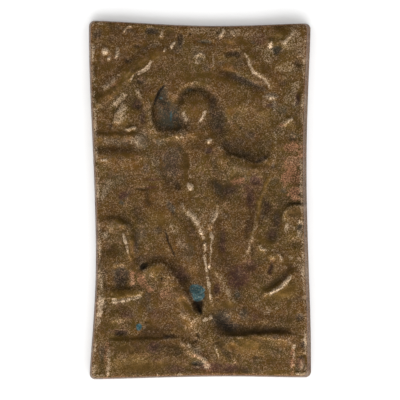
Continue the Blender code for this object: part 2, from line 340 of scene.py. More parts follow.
# Dirt, and painted shade.
paint_dirt_and_shade([(5.0, -31.3), (7.4, -31.2), (10.6, -31.4)], 0.45, 1.1)
paint_dirt_and_shade(
    [(3.4, -32.2), (5.4, -33.4), (8.6, -33.8), (14.0, -33.4), (20.0, -32.9), (23.6, -33.4)],
    0.7, 0.5, fade=(0.1, 0.25),
)
paint_dirt_and_shade([(24.3, -43.4), (24.3, -41.4), (25.0, -39.6), (26.5, -38.5)], 0.5, 0.4, fade=(0.1, 0.1))
paint_dirt_and_shade(
    [(4.8, -26.8), (5.4, -29.6), (7.6, -31.6), (13.0, -32.2), (21.0, -32.4)],
    2.8, 0.5, fade=(0.05, 0.25),
)
paint_dirt_and_shade([(-9.4, -33.4), (-7.6, -33.9), (-6.0, -33.5)], 0.9, 0.4)
paint_dirt_and_shade([(-13.4, -36.6), (-11.4, -36.9), (-9.8, -36.6)], 1.7, 0.62)
paint_dirt_and_shade([(-22.6, -37.4), (-17.0, -36.9), (-11.0, -36.6), (-5.6, -38.4)], 3.0, 0.46)
paint_dirt_and_shade([(-12.4, -36.2), (-9.0, -36.8), (-6.0, -37.6), (-4.2, -39.6)], 3.0, 0.6, fade=(0.2, 0.2))
paint_dirt_and_shade([(-10.0, -40.6), (-5.0, -42.0), (1.0, -43.0)], 2.0, 0.3)
paint_dirt_and_shade([(3.4, -34.2), (5.8, -37.0), (8.4, -39.2)], 2.6, 0.42)
paint_dirt_and_shade([(15.4, -36.4), (19.4, -36.8), (22.2, -38.2)], 2.4, 0.3)
paint_dirt_and_shade([(4.0, -32.9), (9.0, -33.1), (14.0, -32.9), (20.0, -32.5), (24.0, -33.1)], 1.5, 0.68)
paint_dirt_and_shade([(4.6, -27.8), (4.8, -30.2), (6.6, -32.0), (10.4, -32.6)], 3.1, 0.8, fade=(0.1, 0.2))
paint_dirt_and_shade([(6.0, -42.6), (10.0, -42.4), (12.6, -42.6)], 1.5, 0.35)
paint_dirt_and_shade([(-20.0, -42.0), (-14.0, -42.4), (-8.0, -42.4), (-4.0, -42.4)], 2.6, 0.3)
paint_dirt_and_shade([(-21.6, -33.4), (-18.0, -33.6)], 1.8, 0.3)
paint_dirt_and_shade([(9.0, -27.6), (13.0, -29.2), (19.0, -29.8), (24.0, -30.4)], 3.0, 0.42)
paint_dirt_and_shade([(-15.2, -33.0), (-12.8, -35.6), (-11.0, -37.4)], 2.4, 0.4)
paint_dirt_and_shade([(-18.0, -38.0), (-11.0, -38.4), (-6.0, -39.6), (-2.0, -41.6)], 2.4, 0.3, fade=(0.2, 0.2))

# ------------------------------------------------------------------------------------------------
# The slanting slab. A smooth flat shape under the figure's feet, cast in one with the plaque. It
# stands clear of the ground and ends low down in a deep notch, darkened with dirt and painted shade.
# ------------------------------------------------------------------------------------------------
# Its edge, up from the notch and over its rounded top.
bank(
    [(1.6, -30.6), (0.4, -28.8), (-1.2, -27.0), (-2.4, -24.8), (-4.0, -22.2), (-5.8, -19.6),
     (-7.2, -17.4), (-8.6, -15.9), (-10.6, -15.3), (-12.6, -16.2), (-14.2, -17.6), (-15.2, -19.2)],
    face=1.4, back=6.0, height=0.8, fade=(0.1, 0.12),
)
ridge([(-6.8, -14.5), (-9.4, -14.3), (-12.0, -15.2), (-14.0, -16.6)], 1.6, -0.12, fade=(0.25, 0.2))
ridge([(-11.4, -18.8), (-10.0, -18.5), (-8.6, -18.9)], 0.6, 0.12)

# The notch, and the pit at the other end of the edge.
swell((-0.5, -26.3), (1.6, 1.9), -0.8, turn=-8.0, power=1.0)
swell((-14.2, -16.6), (1.4, 1.0), -0.7, turn=30.0)
swell((2.7, -29.2), (0.9, 1.1), 0.35)
swell((-2.0, -31.2), (4.4, 2.6), 0.2, turn=-35.0)

# Rubbed through to bright metal, and partly painted highlights.
rub_and_glint([(-5.6, -27.8), (-4.0, -29.2), (-1.6, -31.0), (1.0, -33.0)], 2.2, 0.25)
rub_and_glint([(-5.4, -30.4), (-5.6, -31.4)], 0.35, 0.4)
glint((1.4, -29.9), (0.9, 0.6), 1.5, turn=20.0)
glint((2.7, -29.2), (0.7, 0.9), 0.6)

# Dirt, and painted shade.
paint_dirt_and_shade([(-15.0, -24.0), (-13.2, -26.6)], 2.4, 0.4)
paint_dirt_and_shade([(-14.6, -32.6), (-10.0, -33.2), (-6.4, -32.8)], 2.6, 0.5)
paint_dirt_and_shade([(-9.8, -18.6), (-9.4, -20.6), (-8.0, -22.6)], 2.2, 0.22)
paint_dirt_and_shade([(-1.8, -25.5), (-0.6, -25.7), (0.8, -25.6)], 0.9, 1.0, fade=(0.1, 0.1))
paint_dirt_and_shade([(-0.9, -25.4), (-0.4, -26.4), (-0.2, -27.4)], 1.3, 1.1, fade=(0.05, 0.3))
paint_dirt_and_shade([(-0.4, -26.4), (-0.1, -27.6), (0.1, -28.8)], 0.8, 1.1, fade=(0.1, 0.2))
paint_dirt_and_shade([(-8.2, -15.0), (-6.0, -17.6), (-3.6, -20.6), (-1.0, -23.6), (0.6, -27.0)], 3.2, 0.5)
paint_dirt_and_shade([(-15.8, -14.2), (-14.0, -17.0)], 2.2, 0.6)
paint_dirt_and_shade([(-13.4, -14.8), (-11.0, -14.2), (-8.6, -14.2)], 1.2, 0.35)
paint_dirt_and_shade([(-13.4, -31.6), (-9.6, -32.0)], 1.6, 0.25)
paint_dirt_and_shade([(-12.8, -15.6), (-13.8, -16.6), (-14.8, -17.7)], 0.9, 0.8, fade=(0.2, 0.2))
paint_dirt_and_shade([(-9.5, -19.2), (-9.6, -20.2)], 0.4, 1.0)

# ------------------------------------------------------------------------------------------------
# The low figure at the left. A small worn form of the same bronze, modelled in the mould as a
# rounded back, a hollow lap and long folds that run out to the edge.
# ------------------------------------------------------------------------------------------------
# The rounded back, then the upper side of the lowest fold.
bank(
    [(-15.6, -14.5), (-16.2, -11.5), (-16.6, -8.8), (-17.6, -6.4), (-19.2, -5.0), (-21.2, -4.5),
     (-23.4, -5.0), (-25.2, -6.0)],
    face=1.3, back=3.6, height=0.6, fade=(0.25, 0.12),
)
bank(
    [(-13.0, -23.2), (-14.6, -22.4), (-16.6, -21.9), (-19.4, -22.0), (-22.0, -21.6), (-24.6, -22.2)],
    face=1.0, back=2.4, height=0.25, fade=(0.15, 0.12),
)

# The ribs of the lap, then the lowest fold and the grooves about it.
ridge(
    [(-19.4, -7.8), (-18.8, -10.2), (-18.3, -12.4), (-17.5, -14.4), (-16.8, -15.9)],
    (0.9, 0.7), 0.5, fade=(0.12, 0.3),
)
ridge([(-22.2, -16.8), (-20.4, -15.9), (-18.2, -15.9)], 0.9, 0.15)
ridge([(-17.2, -16.6), (-17.0, -19.0), (-16.8, -21.2)], 0.9, 0.25)
ridge(
    [(-24.6, -24.4), (-22.4, -24.5), (-20.4, -24.4), (-18.2, -24.1), (-15.6, -23.5), (-13.4, -24.0)],
    (2.6, 1.2), 0.7, fade=(0.1, 0.15),
)
ridge([(-23.6, -28.2), (-21.0, -27.2), (-17.5, -26.4)], 1.4, -0.2)
ridge([(-24.2, -16.0), (-24.0, -19.0), (-23.7, -22.0), (-23.6, -26.0), (-24.4, -30.0)], 0.7, -0.3)

# The hollows of the lap, and the soft forms below.
swell((-22.0, -12.4), (3.6, 2.6), -0.5)
swell((-25.3, -15.0), (0.9, 2.2), -0.5)
swell((-19.6, -19.0), (2.3, 3.0), -0.6, power=1.2)
swell((-20.5, -29.6), (3.4, 1.3), 0.25, turn=12.0)
swell((-12.9, -26.6), (1.0, 3.0), -0.2)

# Rubbed through to bright metal, and partly painted highlights.
rub_and_glint([(-19.3, -8.0), (-18.9, -9.4), (-18.4, -11.2)], 0.55, 1.0, fade=(0.15, 0.15))
rub_and_glint([(-18.5, -11.0), (-18.1, -12.6), (-17.7, -13.9)], 0.4, 0.55)
rub_and_glint([(-17.8, -14.6), (-17.1, -15.2), (-16.7, -16.0)], 0.4, 0.3)
rub_and_glint([(-17.1, -18.0), (-17.0, -19.8), (-16.6, -21.6)], 0.6, 0.12)
rub_and_glint([(-20.8, -25.3), (-19.4, -25.2), (-18.0, -25.0)], 0.6, 0.9)
rub_and_glint([(-18.4, -25.0), (-16.8, -24.7), (-15.6, -24.3), (-14.6, -24.4)], 0.6, 0.8, fade=(0.12, 0.15))
rub_and_glint([(-25.4, -16.6), (-25.3, -18.4), (-25.0, -19.8)], 0.8, 0.6)
rub_and_glint([(-24.9, -20.2), (-24.7, -21.4), (-24.6, -22.6)], 0.7, 0.85)
rub_and_glint([(-24.8, -23.4), (-24.9, -26.0), (-25.2, -28.0), (-25.6, -29.9)], 1.15, 1.1, fade=(0.12, 0.2))
rub_and_glint([(-25.6, -29.8), (-26.0, -31.4), (-26.4, -33.0), (-26.6, -34.4)], 0.5, 0.9, fade=(0.1, 0.2))
rub_and_glint([(-24.8, -16.6), (-24.6, -20.4), (-24.4, -24.0), (-24.8, -29.6)], 1.8, 0.42)
glint((-23.8, -8.8), (1.4, 1.0), 0.65)
glint((-22.2, -9.6), (0.5, 0.4), 0.3)
glint((-21.3, -25.2), (0.9, 1.0), 0.9)
glint((-24.4, -25.6), (0.6, 0.9), 1.5)
glint((-24.9, -27.9), (0.5, 0.8), 1.3)
glint((-25.4, -30.5), (0.7, 1.0), 1.9)
glint((-19.3, -25.2), (0.6, 0.5), 1.5)
glint((-18.7, -10.2), (0.45, 0.8), 1.4)

# Dirt, and painted shade.
paint_dirt_and_shade([(-24.0, -22.2), (-21.0, -22.3), (-16.6, -22.2)], 1.0, 0.4)
paint_dirt_and_shade([(-21.4, -21.9), (-19.8, -22.3), (-18.2, -22.2)], 0.5, 0.6)
paint_dirt_and_shade([(-24.8, -11.6), (-24.2, -15.0), (-23.8, -19.0)], 2.2, 0.32)
paint_dirt_and_shade([(-23.4, -3.8), (-20.0, -4.6), (-17.4, -7.4), (-16.0, -11.0)], 2.0, 0.28)
paint_dirt_and_shade([(-24.6, -6.6), (-23.0, -10.4), (-22.6, -13.6)], 3.0, 0.34)
paint_dirt_and_shade([(-20.0, -16.8), (-19.8, -20.6)], 2.2, 0.45)

# ------------------------------------------------------------------------------------------------
# The bar at the left. A level strip of bronze with a round end and a broad bank below it. Both
# were cut in the mould with straight, sharp upper sides.
# ------------------------------------------------------------------------------------------------
# The bar's upper side, then the broad bank's.
bank(
    [(-13.6, 17.0), (-16.0, 16.8), (-20.0, 16.6), (-24.0, 16.5), (-27.0, 16.3)],
    face=1.3, back=2.6, height=0.42, fade=(0.2, 0.05),
)
bank(
    [(-11.2, 11.4), (-14.0, 11.6), (-17.0, 12.1), (-20.0, 12.4), (-23.0, 12.2), (-27.0, 12.4)],
    face=2.0, back=5.5, height=0.45, fade=(0.25, 0.02),
)
ridge([(-25.4, 9.9), (-23.0, 9.9)], 0.6, 0.2)

# The round end.
swell((-15.0, 14.6), (2.4, 2.2), 0.4, power=1.5)

# Rubbed through to bright metal, and partly painted highlights.
rub_and_glint([(-16.6, 14.2), (-15.0, 15.6), (-12.8, 15.8)], 1.8, 0.5)
rub_and_glint([(-19.8, 10.1), (-17.6, 10.0), (-15.0, 10.2), (-12.0, 9.6)], 0.35, 0.3)
rub_and_glint([(-17.2, 13.6), (-17.1, 14.7), (-16.4, 15.7), (-15.4, 16.2)], 0.45, 0.45)
rub_and_glint([(-14.4, 16.3), (-13.8, 15.2)], 0.4, 0.2)
rub_and_glint([(-16.4, 12.6), (-15.0, 12.2)], 0.5, 0.25)
rub_and_glint([(-14.8, 18.2), (-13.6, 15.4)], 1.6, 0.3)
glint((-24.1, 9.9), (0.9, 0.45), 1.3)
glint((-25.9, 9.8), (0.4, 0.9), 0.9)

# Dirt, and painted shade.
paint_dirt_and_shade([(-27.0, 12.3), (-22.0, 12.5), (-17.4, 12.2), (-14.0, 11.6)], 1.4, 0.4, fade=(0.02, 0.3))

# ------------------------------------------------------------------------------------------------
# The wedge at the left. A small three-sided facet of the casting, between the bar and the folds
# above it, rubbed through to bright metal on its faces, which also carry painted highlights.
# ------------------------------------------------------------------------------------------------
# Its long side, on the left.
ridge(
    [(-21.6, 18.4), (-21.3, 20.4), (-20.4, 22.2), (-19.2, 23.9), (-18.4, 24.6)],
    (0.8, 1.8), 0.45, fade=(0.2, 0.1),
)

# The ribs between it and the hollow beside the head, and its foot.
ridge([(-12.4, 25.6), (-12.3, 22.0), (-12.4, 18.4)], 0.9, 0.25)
ridge([(-16.0, 28.2), (-15.2, 26.6), (-14.3, 25.0), (-14.0, 23.8)], 0.8, 0.3)
ridge([(-18.8, 17.3), (-17.4, 17.9), (-15.6, 18.0)], (0.8, 0.9), 0.4)
swell((-19.4, 21.2), (2.6, 3.8), 0.35, turn=-15.0, power=1.5)
swell((-15.0, 23.4), (1.6, 1.0), -0.3, turn=-35.0)
swell((-14.0, 20.4), (0.7, 1.8), -0.25)
swell((-22.2, 18.6), (0.6, 1.0), -0.3)
swell((-24.8, 21.6), (1.4, 2.6), 0.15)

# Rubbed through to bright metal, and partly painted highlights.
rub_and_glint([(-21.2, 19.0), (-20.8, 21.0), (-19.6, 22.8), (-18.8, 24.2)], 1.3, 0.3)
rub_and_glint([(-21.2, 19.6), (-21.0, 18.4)], 0.35, 0.3)
rub_and_glint([(-16.2, 28.0), (-15.4, 26.6), (-14.3, 25.0)], 1.1, 0.35)
rub_and_glint([(-26.3, 27.4), (-26.4, 26.4), (-26.6, 25.4)], 0.5, 1.0)
rub_and_glint([(-26.3, 22.6), (-25.7, 22.6), (-25.4, 21.8)], 0.35, 0.7)
rub_and_glint([(-26.3, 21.2), (-26.0, 19.6), (-26.1, 17.4)], 0.35, 0.85)
rub_and_glint([(-25.9, 28.6), (-26.2, 28.2)], 0.5, 0.8)
glint((-19.9, 22.4), (0.9, 0.7), 1.7)
glint((-19.8, 22.4), (1.2, 0.6), 0.75, turn=10.0)
glint((-19.2, 23.6), (0.8, 0.9), 0.45)
glint((-20.6, 20.8), (0.6, 0.9), 0.5)
glint((-18.4, 23.0), (0.4, 0.6), 0.4)
glint((-19.9, 21.3), (1.9, 3.2), 0.55, turn=-12.0)
glint((-18.2, 17.5), (1.1, 0.7), 0.75)
glint((-16.6, 18.0), (1.3, 0.7), 0.7, turn=-10.0)

# ------------------------------------------------------------------------------------------------
# The bands at the upper left. Two long folds that slant up to the top edge, with small bosses and
# pits between them. They stand high in the casting, and are worn bright along their crests,
# which also carry painted highlights.
# ------------------------------------------------------------------------------------------------
# The long fold, and the short bright crest on it.
ridge(
    [(-27.0, 23.4), (-24.5, 25.0), (-21.8, 27.2), (-19.6, 29.3), (-18.0, 31.6), (-15.8, 33.4),
     (-13.4, 35.1), (-10.8, 36.7), (-8.8, 38.2), (-7.4, 39.8)],
    (3.2, 2.2), 0.6, fade=(0.05, 0.2),
)
ridge(
    [(-17.6, 29.2), (-16.8, 30.8), (-15.8, 31.9), (-14.0, 32.7), (-12.7, 34.0), (-11.8, 35.4)],
    (1.0, 0.55), 0.42, fade=(0.12, 0.2),
)
ridge([(-17.8, 35.8), (-15.2, 36.9), (-12.6, 38.2), (-10.4, 38.9)], 1.6, -0.12)

# The fold below it, and short ribs about the upper end of both.
ridge([(-23.8, 22.6), (-22.0, 23.6), (-20.4, 25.0), (-19.0, 26.6), (-18.0, 28.0)], (1.5, 1.2), 0.3)
ridge([(-24.6, 27.6), (-22.6, 29.2), (-20.6, 31.0)], 1.3, 0.3)
ridge([(-10.0, 40.2), (-9.6, 41.5), (-9.0, 43.0)], 0.9, 0.35)
ridge([(-7.3, 37.8), (-6.9, 38.8), (-6.3, 39.8)], 0.6, 0.35)
ridge([(-9.1, 36.8), (-8.8, 37.6), (-8.5, 38.4)], 0.6, 0.3)
ridge([(-20.2, 38.6), (-20.7, 37.2), (-20.9, 35.4)], (1.0, 0.7), 0.35)
ridge([(-19.2, 41.4), (-18.7, 42.6), (-17.7, 43.4), (-16.4, 43.6)], 0.7, 0.35)

# Pits, hollows and bosses, with the round boss of the corner.
swell((-20.3, 30.8), (0.35, 0.3), -0.25)
swell((-7.6, 41.6), (1.9, 1.5), -0.2, power=1.4)
swell((-5.0, 40.3), (1.1, 2.4), -0.6)
swell((-23.6, 37.3), (1.6, 1.6), 0.5)
swell((-23.6, 37.3), (0.3, 0.3), -0.35)
swell((-22.8, 35.4), (0.9, 0.9), 0.3)
swell((-26.4, 33.6), (0.9, 3.0), -0.35)
swell((-17.4, 42.0), (1.5, 0.9), 0.2)
swell((-12.3, 42.4), (2.0, 1.3), -0.55)
swell((-22.4, 40.4), (1.1, 1.4), -0.35)
swell((-18.0, 34.8), (1.2, 1.0), -0.4)
swell((-25.6, 41.6), (1.2, 1.6), -0.25)
swell((-15.6, 38.6), (1.4, 0.7), -0.3)
swell((-12.8, 30.2), (2.6, 1.6), 0.2)
swell((-15.0, 29.7), (1.2, 0.9), -0.3)

# Rubbed through to bright metal, and partly painted highlights.
rub_and_glint([(-17.4, 29.5), (-16.9, 30.4), (-16.3, 31.4)], 0.45, 0.7, fade=(0.2, 0.15))
rub_and_glint(
    [(-16.0, 31.6), (-14.6, 32.1), (-13.4, 32.8), (-12.6, 33.9), (-11.9, 35.0)],
    0.65, 1.15, fade=(0.12, 0.2),
)
rub_and_glint([(-22.6, 23.2), (-20.8, 24.3), (-19.5, 25.5), (-18.2, 27.4)], 1.3, 0.5)
rub_and_glint([(-25.0, 27.0), (-23.2, 28.4), (-21.6, 29.8), (-20.2, 31.0)], 1.8, 0.55)
rub_and_glint([(-10.0, 40.4), (-9.6, 41.5), (-9.1, 42.8)], 0.5, 0.35)
rub_and_glint([(-7.4, 37.8), (-6.8, 38.9), (-6.3, 39.8)], 0.5, 1.0)
rub_and_glint([(-9.1, 36.9), (-8.8, 37.6), (-8.5, 38.3)], 0.4, 0.6)
rub_and_glint([(-20.3, 38.1), (-20.7, 36.9), (-21.0, 35.4)], 0.8, 0.4)
rub_and_glint([(-25.0, 39.2), (-24.4, 38.2)], 0.5, 0.3)
rub_and_glint([(-19.8, 38.5), (-18.8, 38.6)], 0.4, 0.4)
rub_and_glint([(-16.4, 36.6), (-15.7, 36.1), (-14.9, 36.4)], 0.35, 0.4)
rub_and_glint([(-19.0, 41.9), (-18.5, 42.8), (-17.6, 43.4), (-16.7, 43.6)], 0.45, 0.5)
rub_and_glint([(-15.4, 37.4), (-12.0, 38.2), (-8.6, 39.8)], 1.5, 0.26)
glint((-19.5, 25.4), (0.5, 0.4), 0.9, turn=40.0)
glint((-20.4, 30.9), (0.8, 0.6), 0.6, turn=20.0)
glint((-23.7, 37.1), (0.9, 1.3), 1.2, turn=-20.0)
glint((-22.9, 35.4), (0.7, 0.8), 0.9)

# Dirt, and painted shade.
paint_dirt_and_shade([(-11.4, 35.2), (-8.4, 37.2), (-5.4, 39.6)], 1.2, 0.28)
paint_dirt_and_shade([(-27.0, 24.4), (-23.6, 26.2), (-20.4, 28.6)], 1.3, 0.3)
paint_dirt_and_shade([(-17.6, 25.6), (-16.0, 23.4), (-14.2, 21.0), (-13.6, 18.6)], 1.9, 0.3)
paint_dirt_and_shade([(-26.6, 26.0), (-24.8, 24.4), (-23.0, 22.2)], 2.0, 0.3)
paint_dirt_and_shade([(-23.0, 42.6), (-19.0, 42.2), (-15.0, 41.6)], 2.0, 0.28)

# ------------------------------------------------------------------------------------------------
# The top edge. A small ring, some short ribs and a few pits, cut in the mould between the two
# upper corners.
# ------------------------------------------------------------------------------------------------
ring = [(-1.5, 34.9), (-1.0, 36.1), (0.1, 36.6), (1.0, 36.0), (1.1, 35.0)]
ridge(ring, 0.6, 0.2)

# Short ribs to the right of the ring.
ridge([(3.1, 38.0), (3.4, 35.6), (3.2, 32.4)], 0.6, 0.2)
ridge([(4.9, 40.8), (5.5, 41.8), (6.3, 42.9)], (0.7, 0.9), 0.5)
ridge([(7.8, 42.8), (8.1, 41.8), (8.9, 40.8)], 0.6, 0.3)

# The ring's middle, and the pits above it.
swell((0.1, 35.4), (0.8, 0.7), -0.25)
swell((0.8, 39.5), (0.7, 0.4), -0.4)
swell((-2.4, 41.7), (0.35, 0.7), -0.6)
swell((2.6, 39.2), (2.6, 1.0), -0.25)
swell((7.6, 40.2), (2.6, 1.5), 0.3, turn=-5.0)
swell((4.4, 42.2), (0.5, 0.8), -0.5)

# Rubbed through to bright metal, and partly painted highlights.
rub_and_glint([(2.6, 42.0), (6.6, 41.4), (11.0, 42.0)], 2.4, 0.34)
rub_and_glint([(-2.4, 37.2), (0.4, 38.4), (2.4, 38.2)], 1.2, 0.3)
rub_and_glint(ring, 0.7, 0.5)
rub_and_glint([(-1.6, 34.6), (-0.6, 34.2), (0.2, 34.5)], 0.4, 0.6)
rub_and_glint([(3.1, 37.8), (3.4, 35.6), (3.3, 33.0)], 0.35, 0.35)
rub_and_glint([(4.9, 40.9), (5.5, 41.8), (6.2, 42.8)], 0.7, 1.0)
rub_and_glint([(7.8, 42.6), (8.1, 41.9), (8.7, 41.1)], 0.35, 0.4)
rub_and_glint([(-4.0, 42.4), (0.0, 42.2), (4.0, 41.6)], 1.7, 0.28)
rub_and_glint([(-3.0, 42.4), (1.0, 42.4)], 1.8, 0.4)
glint((0.2, 35.8), (2.0, 2.0), 0.5)
glint((1.8, 38.2), (0.5, 0.6), 0.4)
glint((3.6, 43.0), (0.4, 0.25), 0.4)

# ------------------------------------------------------------------------------------------------
# The hollows beside the head. A narrow one and a wide crescent, sunk in the bronze so that the
# head stands clear. Green salts have gathered in them, and dirt and painted shade darken them.
# ------------------------------------------------------------------------------------------------
# The narrow hollow's edge, under it and up its left side.
bank(
    [(-3.2, 19.2), (-4.4, 18.2), (-6.0, 17.4), (-8.0, 17.0), (-9.8, 17.3), (-11.3, 18.9),
     (-12.0, 21.2), (-12.0, 23.6), (-11.0, 26.0), (-9.2, 28.4)],
    face=1.6, back=3.2, height=0.65, fade=(0.1, 0.15),
)

# The crescent's edge, round its lower end and back to the neck.
bank(
    [(19.2, 20.6), (18.2, 18.4), (17.9, 15.5), (17.6, 12.6), (16.8, 10.8), (15.4, 9.9), (13.4, 9.9),
     (11.2, 10.5), (8.6, 11.3), (6.6, 12.3), (5.0, 13.7), (3.6, 15.4), (1.6, 17.6)],
    face=1.0, back=6.0, height=0.65, fade=(0.4, 0.35),
)
ridge([(11.0, 10.3), (13.4, 9.7), (15.6, 10.0)], 0.5, -0.35)

# The narrow hollow, then the crescent.
swell((-8.0, 21.0), (4.4, 6.0), -0.5, turn=4.0, power=1.2)
swell((-9.2, 25.4), (1.9, 3.6), -0.55, turn=20.0, power=1.4)
swell((11.0, 16.6), (7.6, 7.4), -0.95, power=1.6)
swell((4.6, 20.4), (3.2, 6.0), -0.75, turn=12.0, power=1.6)
swell((10.2, 18.1), (0.5, 0.5), -0.5)

# Rubbed through to bright metal, and partly painted highlights.
rub_and_glint([(-7.9, 21.2), (-7.4, 22.6)], 0.4, 0.4)
rub_and_glint([(-6.5, 19.2), (-6.0, 20.6)], 0.4, 0.4)
rub_and_glint([(-10.2, 25.6), (-9.6, 25.7), (-9.0, 25.2)], 0.28, 0.7)

# Dirt, and painted shade.
paint_dirt_and_shade(
    [(-4.2, 18.8), (-6.4, 17.9), (-9.2, 18.0), (-11.0, 19.6), (-11.5, 22.0), (-11.0, 25.0),
     (-9.4, 27.6)],
    1.6, 0.4,
)
paint_dirt_and_shade(
    [(-11.4, 23.4), (-11.1, 24.8), (-10.3, 26.6), (-9.2, 28.2), (-8.2, 29.2)],
    0.5, 1.3, fade=(0.08, 0.25),
)
paint_dirt_and_shade([(-9.0, 17.4), (-6.6, 17.8), (-4.6, 18.5)], 0.5, 0.3)
paint_dirt_and_shade([(5.0, 14.4), (7.6, 12.6), (10.4, 11.5), (13.2, 10.5), (15.6, 10.7), (17.2, 12.2)], 2.4, 0.42)
paint_dirt_and_shade([(2.6, 26.0), (4.6, 23.2), (5.0, 20.6), (4.6, 18.0), (7.0, 15.4)], 3.0, 0.38)
paint_dirt_and_shade([(8.0, 22.4), (9.6, 19.4)], 2.2, 0.24)
paint_dirt_and_shade([(-5.8, 21.2), (-5.0, 17.4), (-3.6, 15.2)], 2.2, 0.48)
paint_dirt_and_shade([(-7.4, 15.9), (-5.0, 16.6)], 1.0, 0.3)

# ------------------------------------------------------------------------------------------------
# The head. A plain worn oval with a short neck, raised as one boss in a groove. Nothing is left
# of its features but the two cheeks, which are rubbed bright and carry painted highlights.
# ------------------------------------------------------------------------------------------------
# The groove over it, and the low rib outside the groove.
ridge(
    [(-5.0, 22.4), (-5.0, 24.6), (-4.2, 26.4), (-2.6, 27.6), (-0.8, 27.9), (1.0, 27.4), (2.6, 26.0),
     (3.5, 24.2), (3.8, 22.0)],
    (1.9, 2.2), -0.5, fade=(0.2, 0.3),
)
ridge([(-5.9, 24.8), (-5.0, 27.0), (-3.4, 28.6), (-1.0, 29.2), (1.6, 28.8)], 1.0, 0.08, fade=(0.2, 0.6))

# The head, then the neck.
swell((-1.1, 22.9), (4.3, 4.9), 0.75, power=0.9)
swell((-1.6, 17.4), (2.4, 3.4), 0.45)

# Rubbed through to bright metal, and partly painted highlights.
rub_and_glint([(-4.3, 22.3), (-4.0, 21.4), (-3.6, 20.5), (-3.1, 19.7)], 0.6, 0.95)
rub_and_glint([(1.4, 22.5), (1.0, 21.4), (0.3, 20.2), (-0.5, 19.2)], 0.65, 1.05)
rub_and_glint([(-5.5, 26.6), (-4.4, 28.0), (-2.6, 28.8)], 0.6, 0.15)
glint((-3.1, 18.2), (0.3, 0.5), 0.5)

# Dirt, and painted shade.
paint_dirt_and_shade([(-5.3, 24.2), (-4.4, 26.2), (-2.2, 27.3), (0.8, 27.0), (3.0, 25.4)], 1.3, 0.35)
paint_dirt_and_shade([(-5.4, 19.4), (-2.6, 18.6), (0.8, 19.6), (2.6, 21.4)], 2.8, 0.36)

# ------------------------------------------------------------------------------------------------
# The arch and the upper right. A curved rib over the head that ends in a bright fold, and small
# lumps towards the corner, all cast in one with the plaque.
# ------------------------------------------------------------------------------------------------
# The arch's bright end.
bank(
    [(10.6, 37.4), (11.6, 35.9), (12.6, 34.0), (13.1, 32.4), (14.6, 31.3), (16.2, 30.2), (17.2, 28.7),
     (17.9, 27.4)],
    face=0.9, back=2.4, height=0.32, fade=(0.12, 0.15),
)

# The grooves under the arch and over it, then a rib into the corner.
ridge(
    [(4.0, 32.0), (8.0, 31.3), (11.0, 29.8), (14.0, 28.2), (16.8, 27.2)],
    (1.6, 2.0), -0.34, fade=(0.25, 0.2),
)
ridge([(6.0, 36.3), (8.4, 37.0), (10.6, 36.6)], (1.0, 1.6), -0.3, fade=(0.3, 0.3))
ridge([(20.4, 38.0), (21.4, 39.4), (22.8, 41.2), (24.2, 43.2)], (1.8, 1.0), 0.6)

# The lumps and pits about its end, and the swelling of the whole corner.
swell((18.0, 25.8), (2.0, 1.0), 0.5, turn=-10.0)
swell((17.6, 39.4), (1.3, 1.5), 0.6)
swell((19.3, 37.6), (1.7, 1.8), -0.4)
swell((22.0, 46.0), (9.0, 18.0), 0.6)
swell((20.0, 41.8), (3.2, 1.6), 0.3)
swell((12.8, 40.6), (1.8, 1.6), -0.2)
swell((24.6, 34.2), (1.6, 2.4), -0.4)
swell((15.0, 34.2), (2.0, 2.4), 0.2, turn=20.0)

# Rubbed through to bright metal, and partly painted highlights.
rub_and_glint(
    [(10.9, 37.0), (11.9, 35.4), (12.6, 33.6), (13.2, 32.0), (14.6, 31.3), (16.0, 30.1), (17.0, 28.8),
     (17.8, 27.5)],
    0.55, 0.85, fade=(0.08, 0.1),
)
rub_and_glint([(15.4, 25.4), (16.4, 26.0), (17.4, 26.4), (18.4, 26.0)], 0.4, 0.7)
rub_and_glint([(17.0, 26.6), (18.6, 26.5), (19.8, 26.1)], 0.3, 0.5)
rub_and_glint([(18.6, 25.2), (18.6, 23.6), (18.7, 21.8)], 0.7, 0.5)
rub_and_glint([(20.6, 38.6), (21.4, 39.4), (22.6, 40.8), (23.8, 42.6)], 0.9, 0.55)
rub_and_glint([(21.0, 36.0), (23.2, 39.6), (25.0, 42.8)], 3.0, 0.28)
rub_and_glint([(16.0, 36.8), (16.8, 35.2), (17.4, 33.6)], 1.8, 0.35)
rub_and_glint([(22.6, 43.6), (24.6, 43.7), (26.0, 43.0)], 0.45, 0.55)
rub_and_glint([(15.8, 37.9), (16.2, 37.0), (17.4, 35.2)], 0.6, 0.4)
rub_and_glint([(6.0, 36.9), (7.4, 37.5), (8.8, 37.6)], 0.35, 0.25)
rub_and_glint([(20.0, 34.6), (22.6, 33.2), (24.2, 31.4)], 1.8, 0.3)
rub_and_glint([(26.5, 42.4), (26.6, 38.0), (26.4, 33.4)], 0.4, 0.6)
rub_and_glint([(8.4, 41.6), (12.6, 41.4), (16.0, 40.2)], 1.9, 0.28)
rub_and_glint([(12.6, 38.2), (17.0, 37.4), (21.4, 36.2)], 2.0, 0.28)
rub_and_glint([(11.4, 25.0), (14.4, 24.6), (17.0, 23.6)], 2.2, 0.24)
rub_and_glint([(21.6, 41.6), (24.2, 41.4), (25.4, 38.0), (25.2, 34.6)], 2.4, 0.42)
glint((13.4, 31.7), (0.6, 0.45), 1.0, turn=-30.0)
glint((18.0, 25.6), (1.4, 0.9), 0.5, turn=-15.0)
glint((19.2, 25.8), (0.5, 0.4), 0.5)
glint((17.6, 38.6), (0.8, 1.1), 1.6)
glint((21.2, 39.3), (0.8, 0.5), 1.5, turn=35.0)
glint((16.0, 42.2), (0.5, 0.7), 0.5)
glint((14.8, 43.0), (0.7, 0.35), 0.35)
glint((20.8, 32.7), (2.4, 1.0), 0.5, turn=-12.0)
glint((22.4, 32.3), (0.8, 0.6), 0.6)

